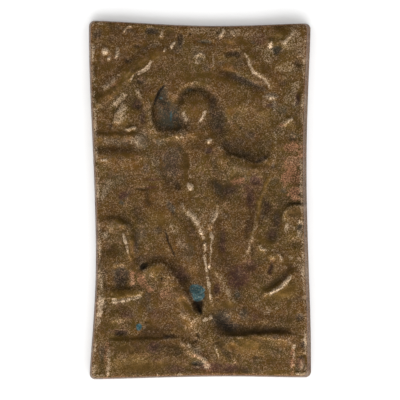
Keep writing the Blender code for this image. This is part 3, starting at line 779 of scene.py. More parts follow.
# Dirt, and painted shade.
paint_dirt_and_shade([(6.0, 35.9), (8.4, 36.6), (10.4, 36.3)], 1.1, 0.4)
paint_dirt_and_shade([(3.8, 31.8), (7.0, 31.4), (10.0, 30.4), (12.6, 29.0), (15.6, 27.4)], 1.5, 0.45)
paint_dirt_and_shade([(19.0, 38.2), (19.7, 36.6)], 1.4, 0.35)
paint_dirt_and_shade([(18.4, 42.6), (21.6, 42.2)], 1.8, 0.22)
paint_dirt_and_shade([(23.6, 34.6), (25.6, 33.4)], 1.5, 0.3)

# ------------------------------------------------------------------------------------------------
# The field at the right. Low ribs and soft folds of the casting, down the edge from the arch to
# the low figure, where the copper in the bronze shows red.
# ------------------------------------------------------------------------------------------------
ridge([(20.6, 18.8), (22.0, 19.8), (23.6, 20.4)], 1.2, 0.45)
ridge([(18.6, 18.2), (18.9, 15.4), (18.9, 12.0), (18.5, 8.4)], 0.9, 0.28)
swell((24.6, 25.4), (0.9, 2.4), -0.3, turn=-12.0)
swell((20.4, 22.2), (1.6, 1.0), -0.1)
swell((23.0, 15.6), (1.4, 0.7), -0.3)
swell((20.8, 29.6), (1.8, 1.2), -0.3)
swell((23.9, 1.0), (1.4, 1.2), 0.2)
swell((25.8, 4.2), (0.6, 1.6), -0.4)
swell((22.0, 3.0), (3.2, 3.2), 0.15)

# Rubbed through to bright metal, and partly painted highlights.
rub_and_glint([(24.4, 30.6), (23.6, 27.4), (21.4, 24.0)], 2.2, 0.36)
rub_and_glint([(21.7, 19.6), (22.8, 20.2), (23.5, 20.5)], 0.6, 0.85)
rub_and_glint([(18.7, 17.4), (18.9, 15.4), (18.9, 13.8)], 0.45, 0.35)
rub_and_glint([(18.6, 11.8), (18.5, 10.4)], 0.4, 0.25)
rub_and_glint([(25.9, 20.4), (25.9, 12.8)], 0.35, 0.5)
rub_and_glint([(19.8, 22.2), (20.4, 18.8), (19.8, 15.4)], 1.8, 0.26)
rub_and_glint([(23.4, 26.4), (24.0, 22.8)], 1.6, 0.35)
glint((23.2, 9.4), (2.2, 5.0), 0.2)

# Dirt, and painted shade.
paint_dirt_and_shade([(25.0, 27.6), (24.6, 25.6), (24.0, 24.0), (23.0, 22.8)], 0.8, 0.55, fade=(0.2, 0.1))
paint_dirt_and_shade([(25.2, 10.6), (24.6, 6.2), (24.2, 3.0), (24.8, 0.0)], 3.0, 0.34)
paint_dirt_and_shade([(17.4, 1.6), (20.6, 0.6), (23.4, 1.8)], 1.8, 0.22)
paint_dirt_and_shade([(26.0, 5.6), (25.8, 4.2), (25.9, 2.8)], 0.9, 0.6)
paint_dirt_and_shade([(25.8, 17.6), (25.6, 15.0)], 0.9, 0.5)
paint_dirt_and_shade([(22.4, 15.0), (25.4, 14.8)], 0.7, 0.4)

# ------------------------------------------------------------------------------------------------
# The standing figure. Its chest and hips, its arm held out to the staff, and a shallow round hollow
# by its shoulder, all modelled in the mould as soft bosses and pits with no sharp edge.
# ------------------------------------------------------------------------------------------------
# The round hollow, with a groove along its edge.
hollow_edge = [
    (-6.2, 5.0), (-9.0, 6.0), (-10.5, 9.0), (-10.1, 12.4), (-7.8, 14.5),
    (-5.2, 13.8), (-3.8, 11.4), (-3.6, 8.4), (-4.4, 5.8), (-6.6, 4.8),
]
ridge(hollow_edge, 1.2, -0.2, fade=(0.05, 0.05))
swell((-7.0, 9.6), (3.8, 5.1), -0.3, power=0.8)
swell((-5.4, 3.8), (1.3, 1.7), -0.45)

# The shoulder, and the pit below it.
swell((2.3, 14.8), (1.3, 1.1), 0.45)
swell((1.9, 12.4), (1.2, 0.9), -0.25)

# The chest, and the bright boss at the waist.
swell((0.4, 9.5), (4.0, 7.0), 0.6, power=1.6)
swell((-2.5, 3.5), (1.3, 1.6), 0.35)
swell((-2.5, 6.0), (0.5, 0.9), 0.15)

# The hollow under the arm, and the arm.
swell((5.8, 2.9), (5.0, 2.8), -0.5, turn=-28.0, power=1.3)
swell((3.6, 8.6), (1.0, 2.6), -0.2, turn=10.0)
swell((11.1, 5.5), (1.2, 0.9), 0.2)
swell((10.0, 8.4), (6.0, 2.2), 0.3, turn=-8.0)
swell((7.0, 9.4), (0.35, 0.25), -0.3)

# The hips.
swell((0.2, 0.4), (5.0, 7.0), 0.6, power=1.5)

# Rubbed through to bright metal, and partly painted highlights.
rub_and_glint([(-0.8, 5.6), (0.4, 3.0)], 2.0, 0.25)
rub_and_glint([(-11.0, 11.4), (-10.6, 8.6), (-9.4, 6.2)], 2.0, 0.3)
rub_and_glint([(-6.4, 15.4), (-5.4, 15.7), (-4.4, 15.9)], 0.35, 0.35)
rub_and_glint([(-2.2, 10.6), (-2.6, 8.0), (-2.4, 5.2)], 0.55, 0.3)
rub_and_glint([(-3.7, 3.9), (-3.2, 3.4)], 0.35, 0.7)
rub_and_glint([(4.6, 6.0), (5.6, 5.2), (7.0, 5.0)], 0.5, 0.25)
glint((-4.9, 15.8), (0.7, 0.35), 0.3)
glint((2.3, 14.8), (1.1, 0.9), 0.85)
glint((4.6, 13.0), (0.35, 0.45), 0.7)
glint((-2.4, 3.3), (1.3, 1.3), 1.4)
glint((-2.4, 5.9), (0.5, 0.8), 0.4)
glint((5.6, 9.2), (0.6, 0.35), 0.3)

# Dirt, and painted shade.
paint_dirt_and_shade([(5.6, 8.8), (10.0, 8.2), (15.0, 7.8), (20.4, 8.8)], 2.4, 0.4)
paint_dirt_and_shade([(-11.2, 12.6), (-9.0, 15.4), (-5.6, 16.6)], 1.6, 0.3)
paint_dirt_and_shade([(8.8, 4.6), (9.8, 0.0), (9.6, -5.0), (8.8, -12.0)], 2.4, 0.22)
paint_dirt_and_shade(hollow_edge, 1.1, 0.22, fade=(0.05, 0.05))
paint_dirt_and_shade([(2.4, 5.4), (5.6, 4.2), (9.0, 3.6), (10.6, 1.6)], 3.6, 0.46, fade=(0.2, 0.2))
paint_dirt_and_shade([(-9.4, 4.2), (-7.0, 3.4), (-4.6, 3.6)], 2.2, 0.45)
paint_dirt_and_shade([(-2.6, 13.4), (1.8, 12.4), (2.4, 9.4)], 1.3, 0.28)

# ------------------------------------------------------------------------------------------------
# The ground at the left of the figure. Bronze left flat and plain between it and the bar,
# with soft dark mottles of dirt and painted shade, and a few scratches.
# ------------------------------------------------------------------------------------------------
ridge([(-16.2, 3.2), (-14.4, 2.9), (-12.4, 3.0)], 0.6, -0.25)
swell((-6.6, -3.0), (0.8, 1.6), -0.2, turn=25.0)

# Rubbed through to bright metal, and partly painted highlights.
rub_and_glint([(-21.8, 6.2), (-23.0, 3.8), (-24.0, 1.4), (-25.0, -0.8)], 1.6, 0.32)
rub_and_glint([(-8.4, -6.0), (-5.0, -8.8)], 2.4, 0.36)

# Dirt, and painted shade.
paint_dirt_and_shade([(-15.6, 3.2), (-13.4, 2.4)], 1.4, 0.25)
paint_dirt_and_shade([(-13.6, 2.6), (-13.2, 0.4), (-12.4, -2.0)], 1.1, 0.5)
paint_dirt_and_shade([(-16.8, -2.0), (-15.4, -4.0), (-14.4, -6.2)], 1.9, 0.45)
paint_dirt_and_shade([(-16.0, -6.4), (-16.0, -9.6), (-15.6, -12.8)], 1.3, 0.28)
paint_dirt_and_shade([(-10.8, -6.8), (-9.8, -8.6)], 1.4, 0.35)
paint_dirt_and_shade([(-7.8, -0.4), (-7.2, -2.2), (-6.2, -3.8)], 1.0, 0.4)
paint_dirt_and_shade([(-20.4, 0.6), (-18.4, 1.6)], 1.1, 0.3)
paint_dirt_and_shade(
    [(-9.1, -6.2), (-8.5, -8.4), (-7.9, -10.6), (-7.0, -12.6), (-5.8, -14.8)],
    0.4, 1.0, fade=(0.3, 0.15),
)

# ------------------------------------------------------------------------------------------------
# The legs. Two thighs that meet in a fork and the long thin folds below it, cut fine in the mould
# and worn to bright lines, which are partly painted highlights.
# ------------------------------------------------------------------------------------------------
# The left thigh, with a groove outside it.
ridge(
    [(-4.9, -0.2), (-4.0, -2.2), (-2.4, -3.8), (-0.9, -5.4), (0.1, -7.8), (0.9, -10.0), (1.3, -13.0)],
    (1.7, 1.1), 0.4, fade=(0.1, 0.2),
)
ridge([(-6.8, -2.4), (-5.2, -4.0), (-3.6, -6.0), (-2.2, -8.2), (-1.0, -10.6)], 1.3, -0.25)

# The right thigh, with a groove outside it.
ridge(
    [(4.5, 0.0), (4.5, -2.2), (4.0, -4.2), (3.0, -5.8), (2.8, -8.0)],
    (0.9, 1.0), 0.45, fade=(0.15, 0.2),
)
ridge([(5.2, -3.0), (5.2, -6.0), (5.3, -9.6), (5.4, -13.4)], 1.8, -0.28)

# The folds that run down from the fork.
ridge(
    [(0.9, -10.0), (1.2, -13.0), (1.6, -17.0), (2.1, -21.0), (2.8, -26.0)],
    0.8, 0.45, fade=(0.05, 0.15),
)
ridge([(3.0, -7.8), (2.8, -11.0), (2.6, -14.5), (2.4, -18.0)], 0.7, 0.4, fade=(0.15, 0.2))
ridge([(-3.4, -12.6), (-2.2, -15.6), (-1.0, -18.6)], 2.2, 0.25, fade=(0.3, 0.3))

# The fold that swings out to the right.
ridge(
    [(3.0, -16.6), (4.6, -18.4), (5.9, -20.4), (6.7, -22.6), (7.4, -25.0), (8.6, -27.0)],
    (1.8, 1.0), 0.25, fade=(0.15, 0.2),
)

# The fullness of the thighs, and the hollows beside the folds.
swell((0.6, -6.0), (3.2, 5.6), 0.4, power=1.6)
swell((4.2, -22.4), (1.2, 2.4), -0.5, turn=-10.0)
swell((4.3, -24.8), (0.9, 0.9), -0.25)
swell((-3.2, -19.6), (1.4, 1.8), -0.3)

# Rubbed through to bright metal, and partly painted highlights.
rub_and_glint([(-6.2, -6.0), (-5.2, -9.4), (-3.6, -13.0)], 1.9, 0.28)
rub_and_glint([(-4.6, -0.5), (-4.3, -1.4), (-4.0, -2.4), (-3.7, -2.9)], 0.35, 0.8)
rub_and_glint([(-3.5, -3.4), (-2.9, -3.1), (-2.3, -3.3), (-1.9, -3.9)], 0.3, 0.7)
rub_and_glint([(-3.6, -2.2), (-2.2, -3.8), (-0.8, -5.8)], 1.9, 0.46)
rub_and_glint([(-1.5, -3.2), (-1.2, -4.6), (-0.7, -6.1)], 1.0, 0.9)
rub_and_glint([(4.2, -2.4), (3.6, -4.2), (2.8, -6.0)], 1.3, 0.75)
rub_and_glint([(0.4, -5.6), (1.4, -8.0), (1.8, -10.4)], 1.2, 0.25)
rub_and_glint([(-0.3, -6.5), (0.1, -7.8), (0.8, -9.4), (1.1, -10.2)], 0.55, 0.8)
rub_and_glint([(1.1, -10.2), (1.4, -11.8), (1.6, -12.6)], 0.5, 0.8)
rub_and_glint([(4.3, -2.6), (4.4, -3.9), (3.6, -4.6), (2.7, -5.2), (2.6, -6.0)], 0.5, 0.7)
rub_and_glint([(4.3, -0.8), (4.2, -2.4)], 0.3, 0.5)
rub_and_glint([(2.8, -3.2), (3.6, -3.4)], 0.35, 0.4)
rub_and_glint([(1.1, -13.8), (1.3, -15.2), (1.7, -16.8), (1.6, -18.2)], 0.6, 0.9, fade=(0.1, 0.1))
rub_and_glint([(1.8, -19.0), (2.0, -20.4), (2.3, -22.4)], 0.6, 0.8, fade=(0.1, 0.15))
rub_and_glint([(2.4, -22.0), (2.7, -24.0), (2.9, -25.8)], 0.5, 0.5, fade=(0.1, 0.15))
rub_and_glint([(3.0, -9.4), (2.8, -11.0), (2.6, -12.8), (2.6, -15.0)], 0.35, 0.5, fade=(0.1, 0.2))
rub_and_glint([(2.3, -15.8), (2.4, -16.8), (2.5, -17.6)], 0.4, 0.85)
rub_and_glint([(3.9, -17.9), (5.2, -19.4), (6.2, -21.4)], 0.35, 0.3)
rub_and_glint([(3.6, -17.6), (5.8, -20.4), (7.6, -24.0), (9.4, -27.0)], 1.5, 0.26)
glint((-0.7, -5.6), (0.7, 0.8), 1.6)
glint((1.0, -4.8), (3.0, 4.0), 0.24)
glint((3.4, -4.2), (1.3, 1.9), 0.42)
glint((-1.2, -4.2), (1.1, 1.9), 0.4, turn=20.0)
glint((2.9, -9.0), (0.7, 1.2), 1.5)

# Dirt, and painted shade.
paint_dirt_and_shade([(6.2, -7.6), (6.6, -11.0), (6.4, -14.6)], 2.0, 0.35)
paint_dirt_and_shade([(-5.0, -2.6), (-3.4, -4.8), (-1.8, -7.2), (-0.6, -9.6), (0.3, -12.4)], 1.0, 0.35)
paint_dirt_and_shade([(5.0, -7.6), (5.0, -10.6), (5.2, -14.0)], 1.1, 0.35)
paint_dirt_and_shade([(5.4, -13.0), (8.0, -17.4), (9.6, -22.0), (9.0, -26.6)], 3.4, 0.42)

# ------------------------------------------------------------------------------------------------
# The staff. A thin rib of bronze that slants down from the hand, with hollows cut along it that
# set it off.
# ------------------------------------------------------------------------------------------------
ridge(
    [(17.8, 6.8), (16.8, 4.6), (15.8, 2.2), (15.0, -0.2), (14.4, -2.8), (13.9, -5.8), (13.3, -9.0),
     (12.1, -12.0), (11.2, -15.2)],
    (1.0, 1.0), 0.42, fade=(0.1, 0.2),
)

# The hollows along it.
ridge([(11.8, -4.0), (11.8, -7.0), (11.2, -10.0)], 0.9, -0.3)
swell((16.8, -1.8), (2.0, 3.0), -0.4)
swell((15.2, -5.0), (0.9, 1.6), -0.25)
swell((13.8, 4.8), (1.3, 1.4), -0.3)
swell((12.4, 0.8), (1.1, 2.4), -0.3)
swell((13.2, -12.6), (0.9, 2.2), -0.35)
swell((12.0, -16.4), (2.0, 1.6), -0.3)

# Rubbed through to bright metal, and partly painted highlights.
rub_and_glint([(17.4, 6.0), (16.3, 3.6), (15.4, 1.2), (14.8, -1.2), (14.2, -4.0), (13.7, -7.0)], 0.6, 0.12)
rub_and_glint([(13.7, -6.4), (13.1, -9.0), (12.2, -11.6)], 0.7, 0.2)
rub_and_glint([(12.2, -11.6), (11.6, -13.2), (11.2, -14.8)], 0.5, 0.3)
rub_and_glint([(14.6, 6.8), (16.4, 7.0), (18.2, 6.9), (19.6, 6.4)], 0.3, 0.25)

# Dirt, and painted shade.
paint_dirt_and_shade([(16.4, 1.4), (17.0, -1.6), (16.2, -5.6)], 2.6, 0.4)
paint_dirt_and_shade([(19.8, -1.6), (19.0, -5.0), (18.2, -8.6), (16.6, -10.4)], 3.0, 0.42)
paint_dirt_and_shade([(13.2, 3.4), (12.4, 0.0), (12.0, -4.0), (11.4, -9.0)], 1.7, 0.26)
paint_dirt_and_shade([(13.0, -0.6), (13.0, -4.2), (12.4, -8.2)], 2.6, 0.42)

# ------------------------------------------------------------------------------------------------
# The low figure at the right. A rounded shape at the edge, modelled like the one at the left, with
# a bright curved hem below it.
# ------------------------------------------------------------------------------------------------
# The edge of the rounded shape.
bank(
    [(26.8, -1.4), (25.0, -1.1), (23.2, -1.0), (21.6, -1.8), (20.6, -3.4), (20.0, -5.4)],
    face=1.1, back=4.5, height=0.6, fade=(0.02, 0.3),
)

# Short ribs, and a groove, below it.
ridge([(14.4, -10.8), (15.4, -12.0), (16.6, -12.7)], 1.1, 0.4)
ridge([(19.2, -12.8), (19.9, -14.0), (20.8, -15.4)], (0.9, 0.6), 0.4)
ridge([(18.4, -15.2), (17.8, -17.0), (17.3, -18.8)], 0.8, -0.3)

# The hem, under its own groove.
ridge(
    [(15.4, -22.6), (17.4, -22.5), (19.4, -21.4), (21.2, -19.9), (22.7, -18.0), (23.8, -15.8)],
    (2.4, 0.8), -0.3, fade=(0.15, 0.25),
)
ridge(
    [(15.4, -23.3), (17.4, -22.9), (19.3, -21.9), (21.0, -20.5), (22.4, -18.9), (23.6, -16.6)],
    (1.1, 1.5), 0.7, fade=(0.12, 0.2),
)

# Hollows beside it and in it, and the lumps between it and the hem.
swell((18.8, -4.6), (2.2, 4.4), -0.4, turn=-4.0)
swell((18.0, -8.9), (2.4, 2.4), -0.25)
swell((24.9, -6.6), (1.1, 1.0), -0.3)
swell((23.8, -10.8), (2.6, 1.6), -0.35)
swell((18.0, -14.2), (1.6, 1.4), 0.3)
swell((24.8, -29.4), (1.5, 1.4), -0.45)
swell((21.5, -23.2), (4.0, 1.2), 0.15)

# Rubbed through to bright metal, and partly painted highlights.
rub_and_glint([(24.4, -15.4), (24.4, -17.6)], 1.6, 0.35)
rub_and_glint([(24.6, -13.6), (25.2, -16.0), (25.6, -18.4)], 1.5, 0.35)
rub_and_glint([(22.2, -6.0), (23.2, -6.6), (23.9, -7.8)], 0.4, 0.5)
rub_and_glint([(17.0, -12.6), (18.4, -12.6), (19.8, -12.6)], 0.25, 0.7, fade=(0.1, 0.1))
rub_and_glint([(19.5, -13.4), (20.0, -14.2), (20.6, -15.2)], 0.5, 0.55)
rub_and_glint(
    [(15.8, -23.8), (17.4, -23.5), (19.2, -22.5), (20.8, -21.2), (22.0, -19.8), (22.9, -18.4)],
    0.8, 1.0, fade=(0.3, 0.15),
)
rub_and_glint([(14.2, -24.2), (15.0, -25.4)], 0.4, 0.3)
rub_and_glint([(25.7, -16.6), (25.8, -19.0), (26.0, -21.0)], 0.7, 0.65)
rub_and_glint([(19.6, -13.6), (20.8, -15.6), (21.8, -17.8)], 0.7, 0.3)
rub_and_glint([(25.8, -14.0), (25.8, -15.6)], 0.4, 0.6)
rub_and_glint([(26.6, -22.4), (26.8, -26.0)], 0.4, 0.45)
glint((21.7, -6.8), (0.8, 1.4), 0.85, turn=-15.0)
glint((25.2, -5.4), (1.1, 0.6), 0.95)
glint((24.7, -8.5), (0.7, 1.3), 0.75)
glint((25.5, -8.2), (0.4, 0.6), 0.3)
glint((15.6, -12.0), (1.3, 0.8), 0.5, turn=-35.0)
glint((16.5, -12.6), (0.5, 0.3), 0.9)
glint((22.5, -14.4), (0.9, 0.8), 0.45)
glint((21.4, -16.4), (0.5, 0.8), 0.25)
glint((16.8, -27.9), (1.3, 1.4), 0.5)
glint((17.6, -27.1), (0.4, 0.3), 0.5)
glint((19.4, -27.0), (0.5, 0.3), 0.7)
glint((13.9, -26.4), (0.7, 0.4), 0.4)
glint((10.1, -28.0), (0.35, 0.35), 0.5)
glint((25.2, -19.6), (0.8, 1.2), 0.3)
glint((25.9, -18.1), (0.7, 1.5), 1.8)

# Dirt, and painted shade.
paint_dirt_and_shade([(21.6, 0.8), (24.0, -0.6), (25.6, -1.0)], 1.8, 0.4)
paint_dirt_and_shade([(21.4, -2.8), (25.6, -3.4)], 2.8, 0.56)
paint_dirt_and_shade([(17.0, -2.0), (20.0, -1.2), (23.4, -1.4)], 2.4, 0.4)
paint_dirt_and_shade([(15.6, -21.6), (18.2, -20.6), (21.0, -18.4), (23.2, -15.6)], 1.6, 0.4)
paint_dirt_and_shade([(13.0, -14.6), (14.4, -17.6), (14.0, -21.0)], 2.6, 0.28)
paint_dirt_and_shade([(20.8, -1.4), (23.0, -0.9), (26.2, -0.8)], 0.8, 0.75, fade=(0.3, 0.05))
paint_dirt_and_shade([(18.2, -15.6), (17.8, -17.0), (17.4, -18.4)], 0.5, 0.5)

# ------------------------------------------------------------------------------------------------
# The cast skin. The mould was uneven and the bronze came out of it lumpy and pitted. Handling has
# since rounded every edge, most of all the long ones, and polished what stands highest.
# ------------------------------------------------------------------------------------------------
WORN_DOWN = 0.95              # the share of the modelled height that is left
BROAD_FORMS = 0.4             # how much the broad forms stand out over the small ones
RIM_HEIGHT = 0.55             # the share of the relief that is left at the rim
# The long edges' bright metal is partly a painted highlight along the rim.
EDGE_RUB_AND_GLINT = 0.5             # how far in from the rim the long edges are rubbed
LONG_EDGES = 24.0             # beyond this, to the left and the right, lie the long edges
rim_gap = EDGE_ROUND + np.minimum(
    np.minimum(share_u, 1 - share_u) * WIDTH, np.minimum(share_v, 1 - share_v) * HEIGHT
)
sleek = np.zeros(x.shape)     # how far each place is worn smooth, with its patina still on, 0 to 1


def burnish(points, width):
    """A fully sleek band along a course."""
    raise_along(sleek, points, width, 1.0, (0.15, 0.15))


def soften(field, cells):
    """The field blurred to about that many cells: each pass is a 1-2-1 average both ways."""
    for _ in range(2 * cells * cells):
        padded = np.pad(field, 1, mode="edge")
        field = (padded[1:-1, :-2] + 2 * padded[1:-1, 1:-1] + padded[1:-1, 2:]) / 4
        padded = np.pad(field, 1, mode="edge")
        field = (padded[:-2, 1:-1] + 2 * padded[1:-1, 1:-1] + padded[2:, 1:-1]) / 4
    return field


# The broad places that fingers reach, as turned ellipses.
for middle, radii, *turn in (
    ((-23.5, 33.0), (3.0, 2.4), 20.0), ((-7.5, 41.5), (2.2, 1.9)), ((-0.5, 40.6), (3.4, 1.4)),
    ((20.0, 42.0), (4.2, 2.0)), ((16.0, 33.0), (2.8, 2.0)), ((3.0, 31.0), (2.4, 1.0)),
    ((-7.6, 20.6), (3.0, 3.4)), ((-9.4, 25.4), (1.2, 2.8), -22.0), ((-19.0, 11.4), (6.0, 1.3)),
    ((-14.0, 15.0), (2.0, 1.6)), ((-1.2, 23.4), (3.4, 4.6)), ((12.4, 8.6), (5.2, 1.3)),
    ((4.8, 3.4), (2.6, 1.8), -35.0), ((-20.6, -5.6), (4.4, 1.7)), ((-11.0, -17.2), (3.4, 1.4), 10.0),
    ((-2.6, -10.5), (1.4, 4.5), 25.0), ((4.3, -11.0), (1.1, 4.0)), ((17.5, -10.5), (3.0, 1.1)),
    ((22.2, -22.4), (3.4, 1.6), 25.0), ((-19.5, -24.0), (3.8, 0.9)), ((-19.8, -26.6), (3.8, 1.0)),
    ((-19.0, -37.0), (4.0, 1.5)), ((5.4, -36.4), (1.5, 3.4), 30.0), ((8.2, -36.8), (2.0, 1.6)),
    ((19.0, -43.0), (3.5, 0.9)), ((-14.9, -27.5), (0.8, 2.4)), ((24.0, -3.0), (3.4, 1.7)),
    ((20.6, -23.0), (5.0, 2.0), 25.0), ((-15.0, -41.8), (8.0, 2.0)), ((13.0, -36.4), (6.0, 2.0)),
    ((-18.6, -23.2), (5.4, 1.1)),
):
    sleek = np.maximum(sleek, bell(within(middle, radii, *turn)))

# The long folds that they follow.
for points, width in (
    ([(-27.0, 24.0), (-24.0, 26.6), (-20.0, 29.6), (-18.2, 31.4), (-15.6, 33.9), (-12.4, 35.8),
      (-9.6, 37.6), (-7.8, 39.6)], 2.2),
    ([(-27.0, 16.6), (-21.0, 16.6), (-15.0, 16.7)], 0.9),
    ([(5.0, 38.6), (9.0, 39.7), (12.6, 38.8)], 1.3),
    ([(-5.6, 29.6), (-2.0, 30.8), (3.0, 31.2), (7.0, 29.6), (10.6, 27.4)], 1.3),
    ([(-3.6, 12.4), (-3.4, 9.0), (-3.9, 5.4)], 1.1),
    ([(17.4, 6.2), (16.3, 3.8), (15.2, 0.6), (14.5, -3.0), (13.9, -6.4)], 0.9),
    ([(-15.8, -8.0), (-16.9, -11.0), (-17.0, -14.6), (-15.8, -17.4)], 1.3),
    ([(23.6, -16.0), (22.3, -18.3), (20.5, -20.3), (18.0, -21.5), (16.0, -22.0)], 1.5),
    ([(-23.6, -34.6), (-16.0, -34.6), (-9.0, -34.4)], 1.2),
    ([(5.0, -33.4), (12.0, -33.4), (20.0, -33.0), (24.4, -33.6)], 1.1),
    ([(-5.0, -24.6), (-3.0, -27.0), (-1.6, -29.0)], 1.2),
):
    burnish(points, width)

# Smooth patches of no clear shape.
chance = 1.5 * lattice(x, y, 3.4, 15) + 0.8 * lattice(x, y, 1.4, 16) - 0.2
sleek = np.maximum(sleek, 0.8 * smooth_step(chance))

# What the casting's lumps add, and what the years of handling have taken off.
lumps = 0.10 * lattice(x, y, 3.1, 3) + 0.04 * lattice(x, y, 1.5, 4) + 0.012 * lattice(x, y, 0.8, 5)
rise *= WORN_DOWN
rise += BROAD_FORMS * soften(rise, 5)
rise += lumps * (1.0 - 0.5 * sleek)
rise *= RIM_HEIGHT + (1.0 - RIM_HEIGHT) * smooth_step(rim_gap)

# How far each place lies below what is close about it, and below what is farther off.
fine_hollow = soften(rise, 2) - rise
wide_hollow = soften(rise, 6) - rise

# The two long edges are rubbed bright in stretches, partly as a painted highlight along the rim,
# and all the rubbed metal is uneven.
edge_wear_and_glint = np.exp(-(((rim_gap - EDGE_ROUND) / EDGE_RUB_AND_GLINT) ** 2))
edge_wear_and_glint *= np.where(x > 0, 0.8, 0.9) * (np.abs(x) > LONG_EDGES)
bare_and_glint = np.maximum(bare_and_glint, edge_wear_and_glint * np.clip(0.55 + 1.1 * lattice(x, y, 3.6, 9), 0.0, 1.0))
uneven = 0.6 * lattice(x, y, 0.9, 7) + 0.4 * lattice(x, y, 0.4, 8)
bare_and_glint = np.clip(bare_and_glint * (1.0 + 0.5 * uneven), 0.0, 1.0)


# ------------------------------------------------------------------------------------------------
# The stains. Burial left soft patches of other colours on the bronze: blue-grey and violet films,
# red copper oxide, dull green salts, one crust of verdigris, and yellower bronze where it is clean.
# ------------------------------------------------------------------------------------------------
def stain(seed, spread, patches, ragged=0.55):
    """Patches as (x, y, half width, half height, strength), with a turn where there is one. Each
    is the strength times a smooth step of 1.5 - r, where noise is added to the distance r, so that
    its outline is ragged. Fainter spots of noise, as strong as the spread, lie everywhere."""
    noise = 0.6 * lattice(x, y, 1.3, seed) + 0.4 * lattice(x, y, 0.5, seed + 1)
    spots = 1.4 * lattice(x, y, 2.2, seed + 2) + 0.8 * lattice(x, y, 0.9, seed + 3)
    field = spread * smooth_step(spots)
    for middle_x, middle_y, half_width, half_height, strength, *turn in patches:
        r = within((middle_x, middle_y), (half_width, half_height), *turn) + ragged * noise
        field = np.maximum(field, strength * smooth_step(1.5 - r))
    return field


# A slate-grey film, in small streaks over most of the relief.
slate = stain(seed=41, spread=0.36, patches=(
    (7.4, -31.8, 2.6, 1.3, 0.9), (-20.4, -19.6, 1.0, 2.4, 1.0), (-15.9, -12.0, 0.6, 2.4, 0.8),
    (3.2, 24.2, 0.9, 2.4, 0.8, -8.0), (6.8, 14.0, 1.8, 0.9, 0.8, -35.0),
    (10.6, 12.0, 2.0, 0.8, 0.7, -15.0), (19.2, -5.4, 0.7, 2.6, 0.8), (-26.4, 41.0, 0.8, 0.9, 0.8),
    (-26.6, 38.0, 0.7, 0.8, 0.8), (9.8, 34.0, 2.0, 1.3, 0.6), (10.8, 29.9, 3.6, 0.9, 0.9, -25.0),
    (-7.2, 42.0, 1.2, 0.7, 0.5), (-20.4, 14.4, 3.6, 1.0, 0.8), (15.4, 28.0, 1.6, 0.8, 0.8, -25.0),
    (-12.0, 42.4, 1.8, 1.0, 1.0), (-25.5, 42.0, 1.0, 1.4, 0.8), (-20.5, 43.2, 1.1, 0.6, 0.8),
    (-17.4, 42.2, 1.2, 0.8, 0.5), (-13.5, 37.9, 1.1, 0.7, 0.7, 30.0),
    (-15.7, 38.6, 1.0, 0.6, 0.6, 30.0), (-18.0, 34.9, 0.9, 0.8, 0.7),
    (-11.0, 38.7, 0.9, 0.5, 0.6, 30.0), (-14.8, 30.0, 1.2, 0.8, 0.8), (-4.8, 39.6, 0.7, 2.3, 1.0),
    (-6.0, 37.5, 0.8, 1.1, 0.8), (8.5, 36.2, 1.9, 0.6, 0.7), (1.6, 33.0, 1.0, 0.8, 0.8),
    (5.3, 34.3, 1.0, 0.7, 0.6), (9.0, 31.2, 1.4, 1.0, 0.7), (-22.4, 18.5, 0.8, 1.0, 0.7),
    (-15.8, 23.8, 1.1, 1.5, 0.9, -30.0), (-14.4, 20.5, 0.6, 1.5, 0.8), (-21.0, 14.6, 3.8, 1.0, 0.8),
    (-15.3, 14.8, 1.0, 0.8, 0.7), (3.0, 23.6, 0.7, 2.3, 0.8, -10.0), (4.3, 19.6, 2.2, 2.8, 0.8),
    (2.2, 12.3, 0.9, 0.8, 0.9), (-5.5, 12.6, 1.0, 0.8, 0.8), (17.5, 23.6, 1.1, 0.6, 0.9),
    (12.5, 16.3, 1.3, 1.0, 0.8), (10.0, 14.4, 1.3, 1.0, 0.7), (15.2, 13.6, 1.2, 1.4, 0.6),
    (-13.4, 8.0, 0.9, 1.1, 0.9), (-19.0, 0.9, 1.8, 0.9, 0.9, 40.0), (-7.0, 9.4, 2.6, 3.9, 1.0),
    (7.0, 2.3, 1.5, 1.1, 0.9), (3.4, 8.6, 0.7, 2.0, 0.6), (6.5, -4.0, 1.1, 1.0, 0.8),
    (-7.0, -2.0, 0.6, 1.2, 0.8, 30.0), (14.4, 9.7, 0.7, 0.4, 1.0), (16.0, 10.4, 0.6, 0.5, 1.0),
    (18.3, 8.7, 0.6, 0.9, 0.9), (11.0, 5.2, 0.9, 0.8, 0.7), (13.6, 5.0, 1.4, 1.3, 0.9),
    (12.4, 0.6, 1.0, 2.1, 0.7), (16.6, -1.3, 1.0, 1.3, 0.6), (15.6, -3.6, 0.7, 1.5, 0.8),
    (21.0, 2.5, 0.9, 0.8, 0.7), (-20.0, -19.0, 2.0, 2.6, 1.0), (-15.8, -10.0, 0.6, 3.2, 0.7),
    (-14.7, -16.9, 0.9, 0.8, 0.9), (5.5, -10.4, 0.6, 2.4, 0.7), (-4.5, -19.8, 0.9, 0.6, 0.7),
    (18.0, -8.7, 1.3, 1.7, 0.6), (-13.0, -24.2, 0.8, 1.5, 0.8), (-18.2, -28.4, 2.0, 1.1, 0.6),
    (-20.0, -33.1, 1.7, 0.7, 0.9), (5.5, -29.6, 2.4, 2.8, 0.8), (24.9, -29.2, 1.2, 1.0, 0.9),
    (24.5, -24.8, 1.1, 0.9, 0.7), (18.8, -34.1, 1.2, 0.7, 0.7), (-7.0, -42.0, 1.5, 0.8, 0.6),
    (12.6, -42.6, 3.0, 0.7, 0.6), (26.0, -36.0, 0.7, 0.9, 1.0), (-8.2, -34.2, 0.9, 0.4, 1.0),
))

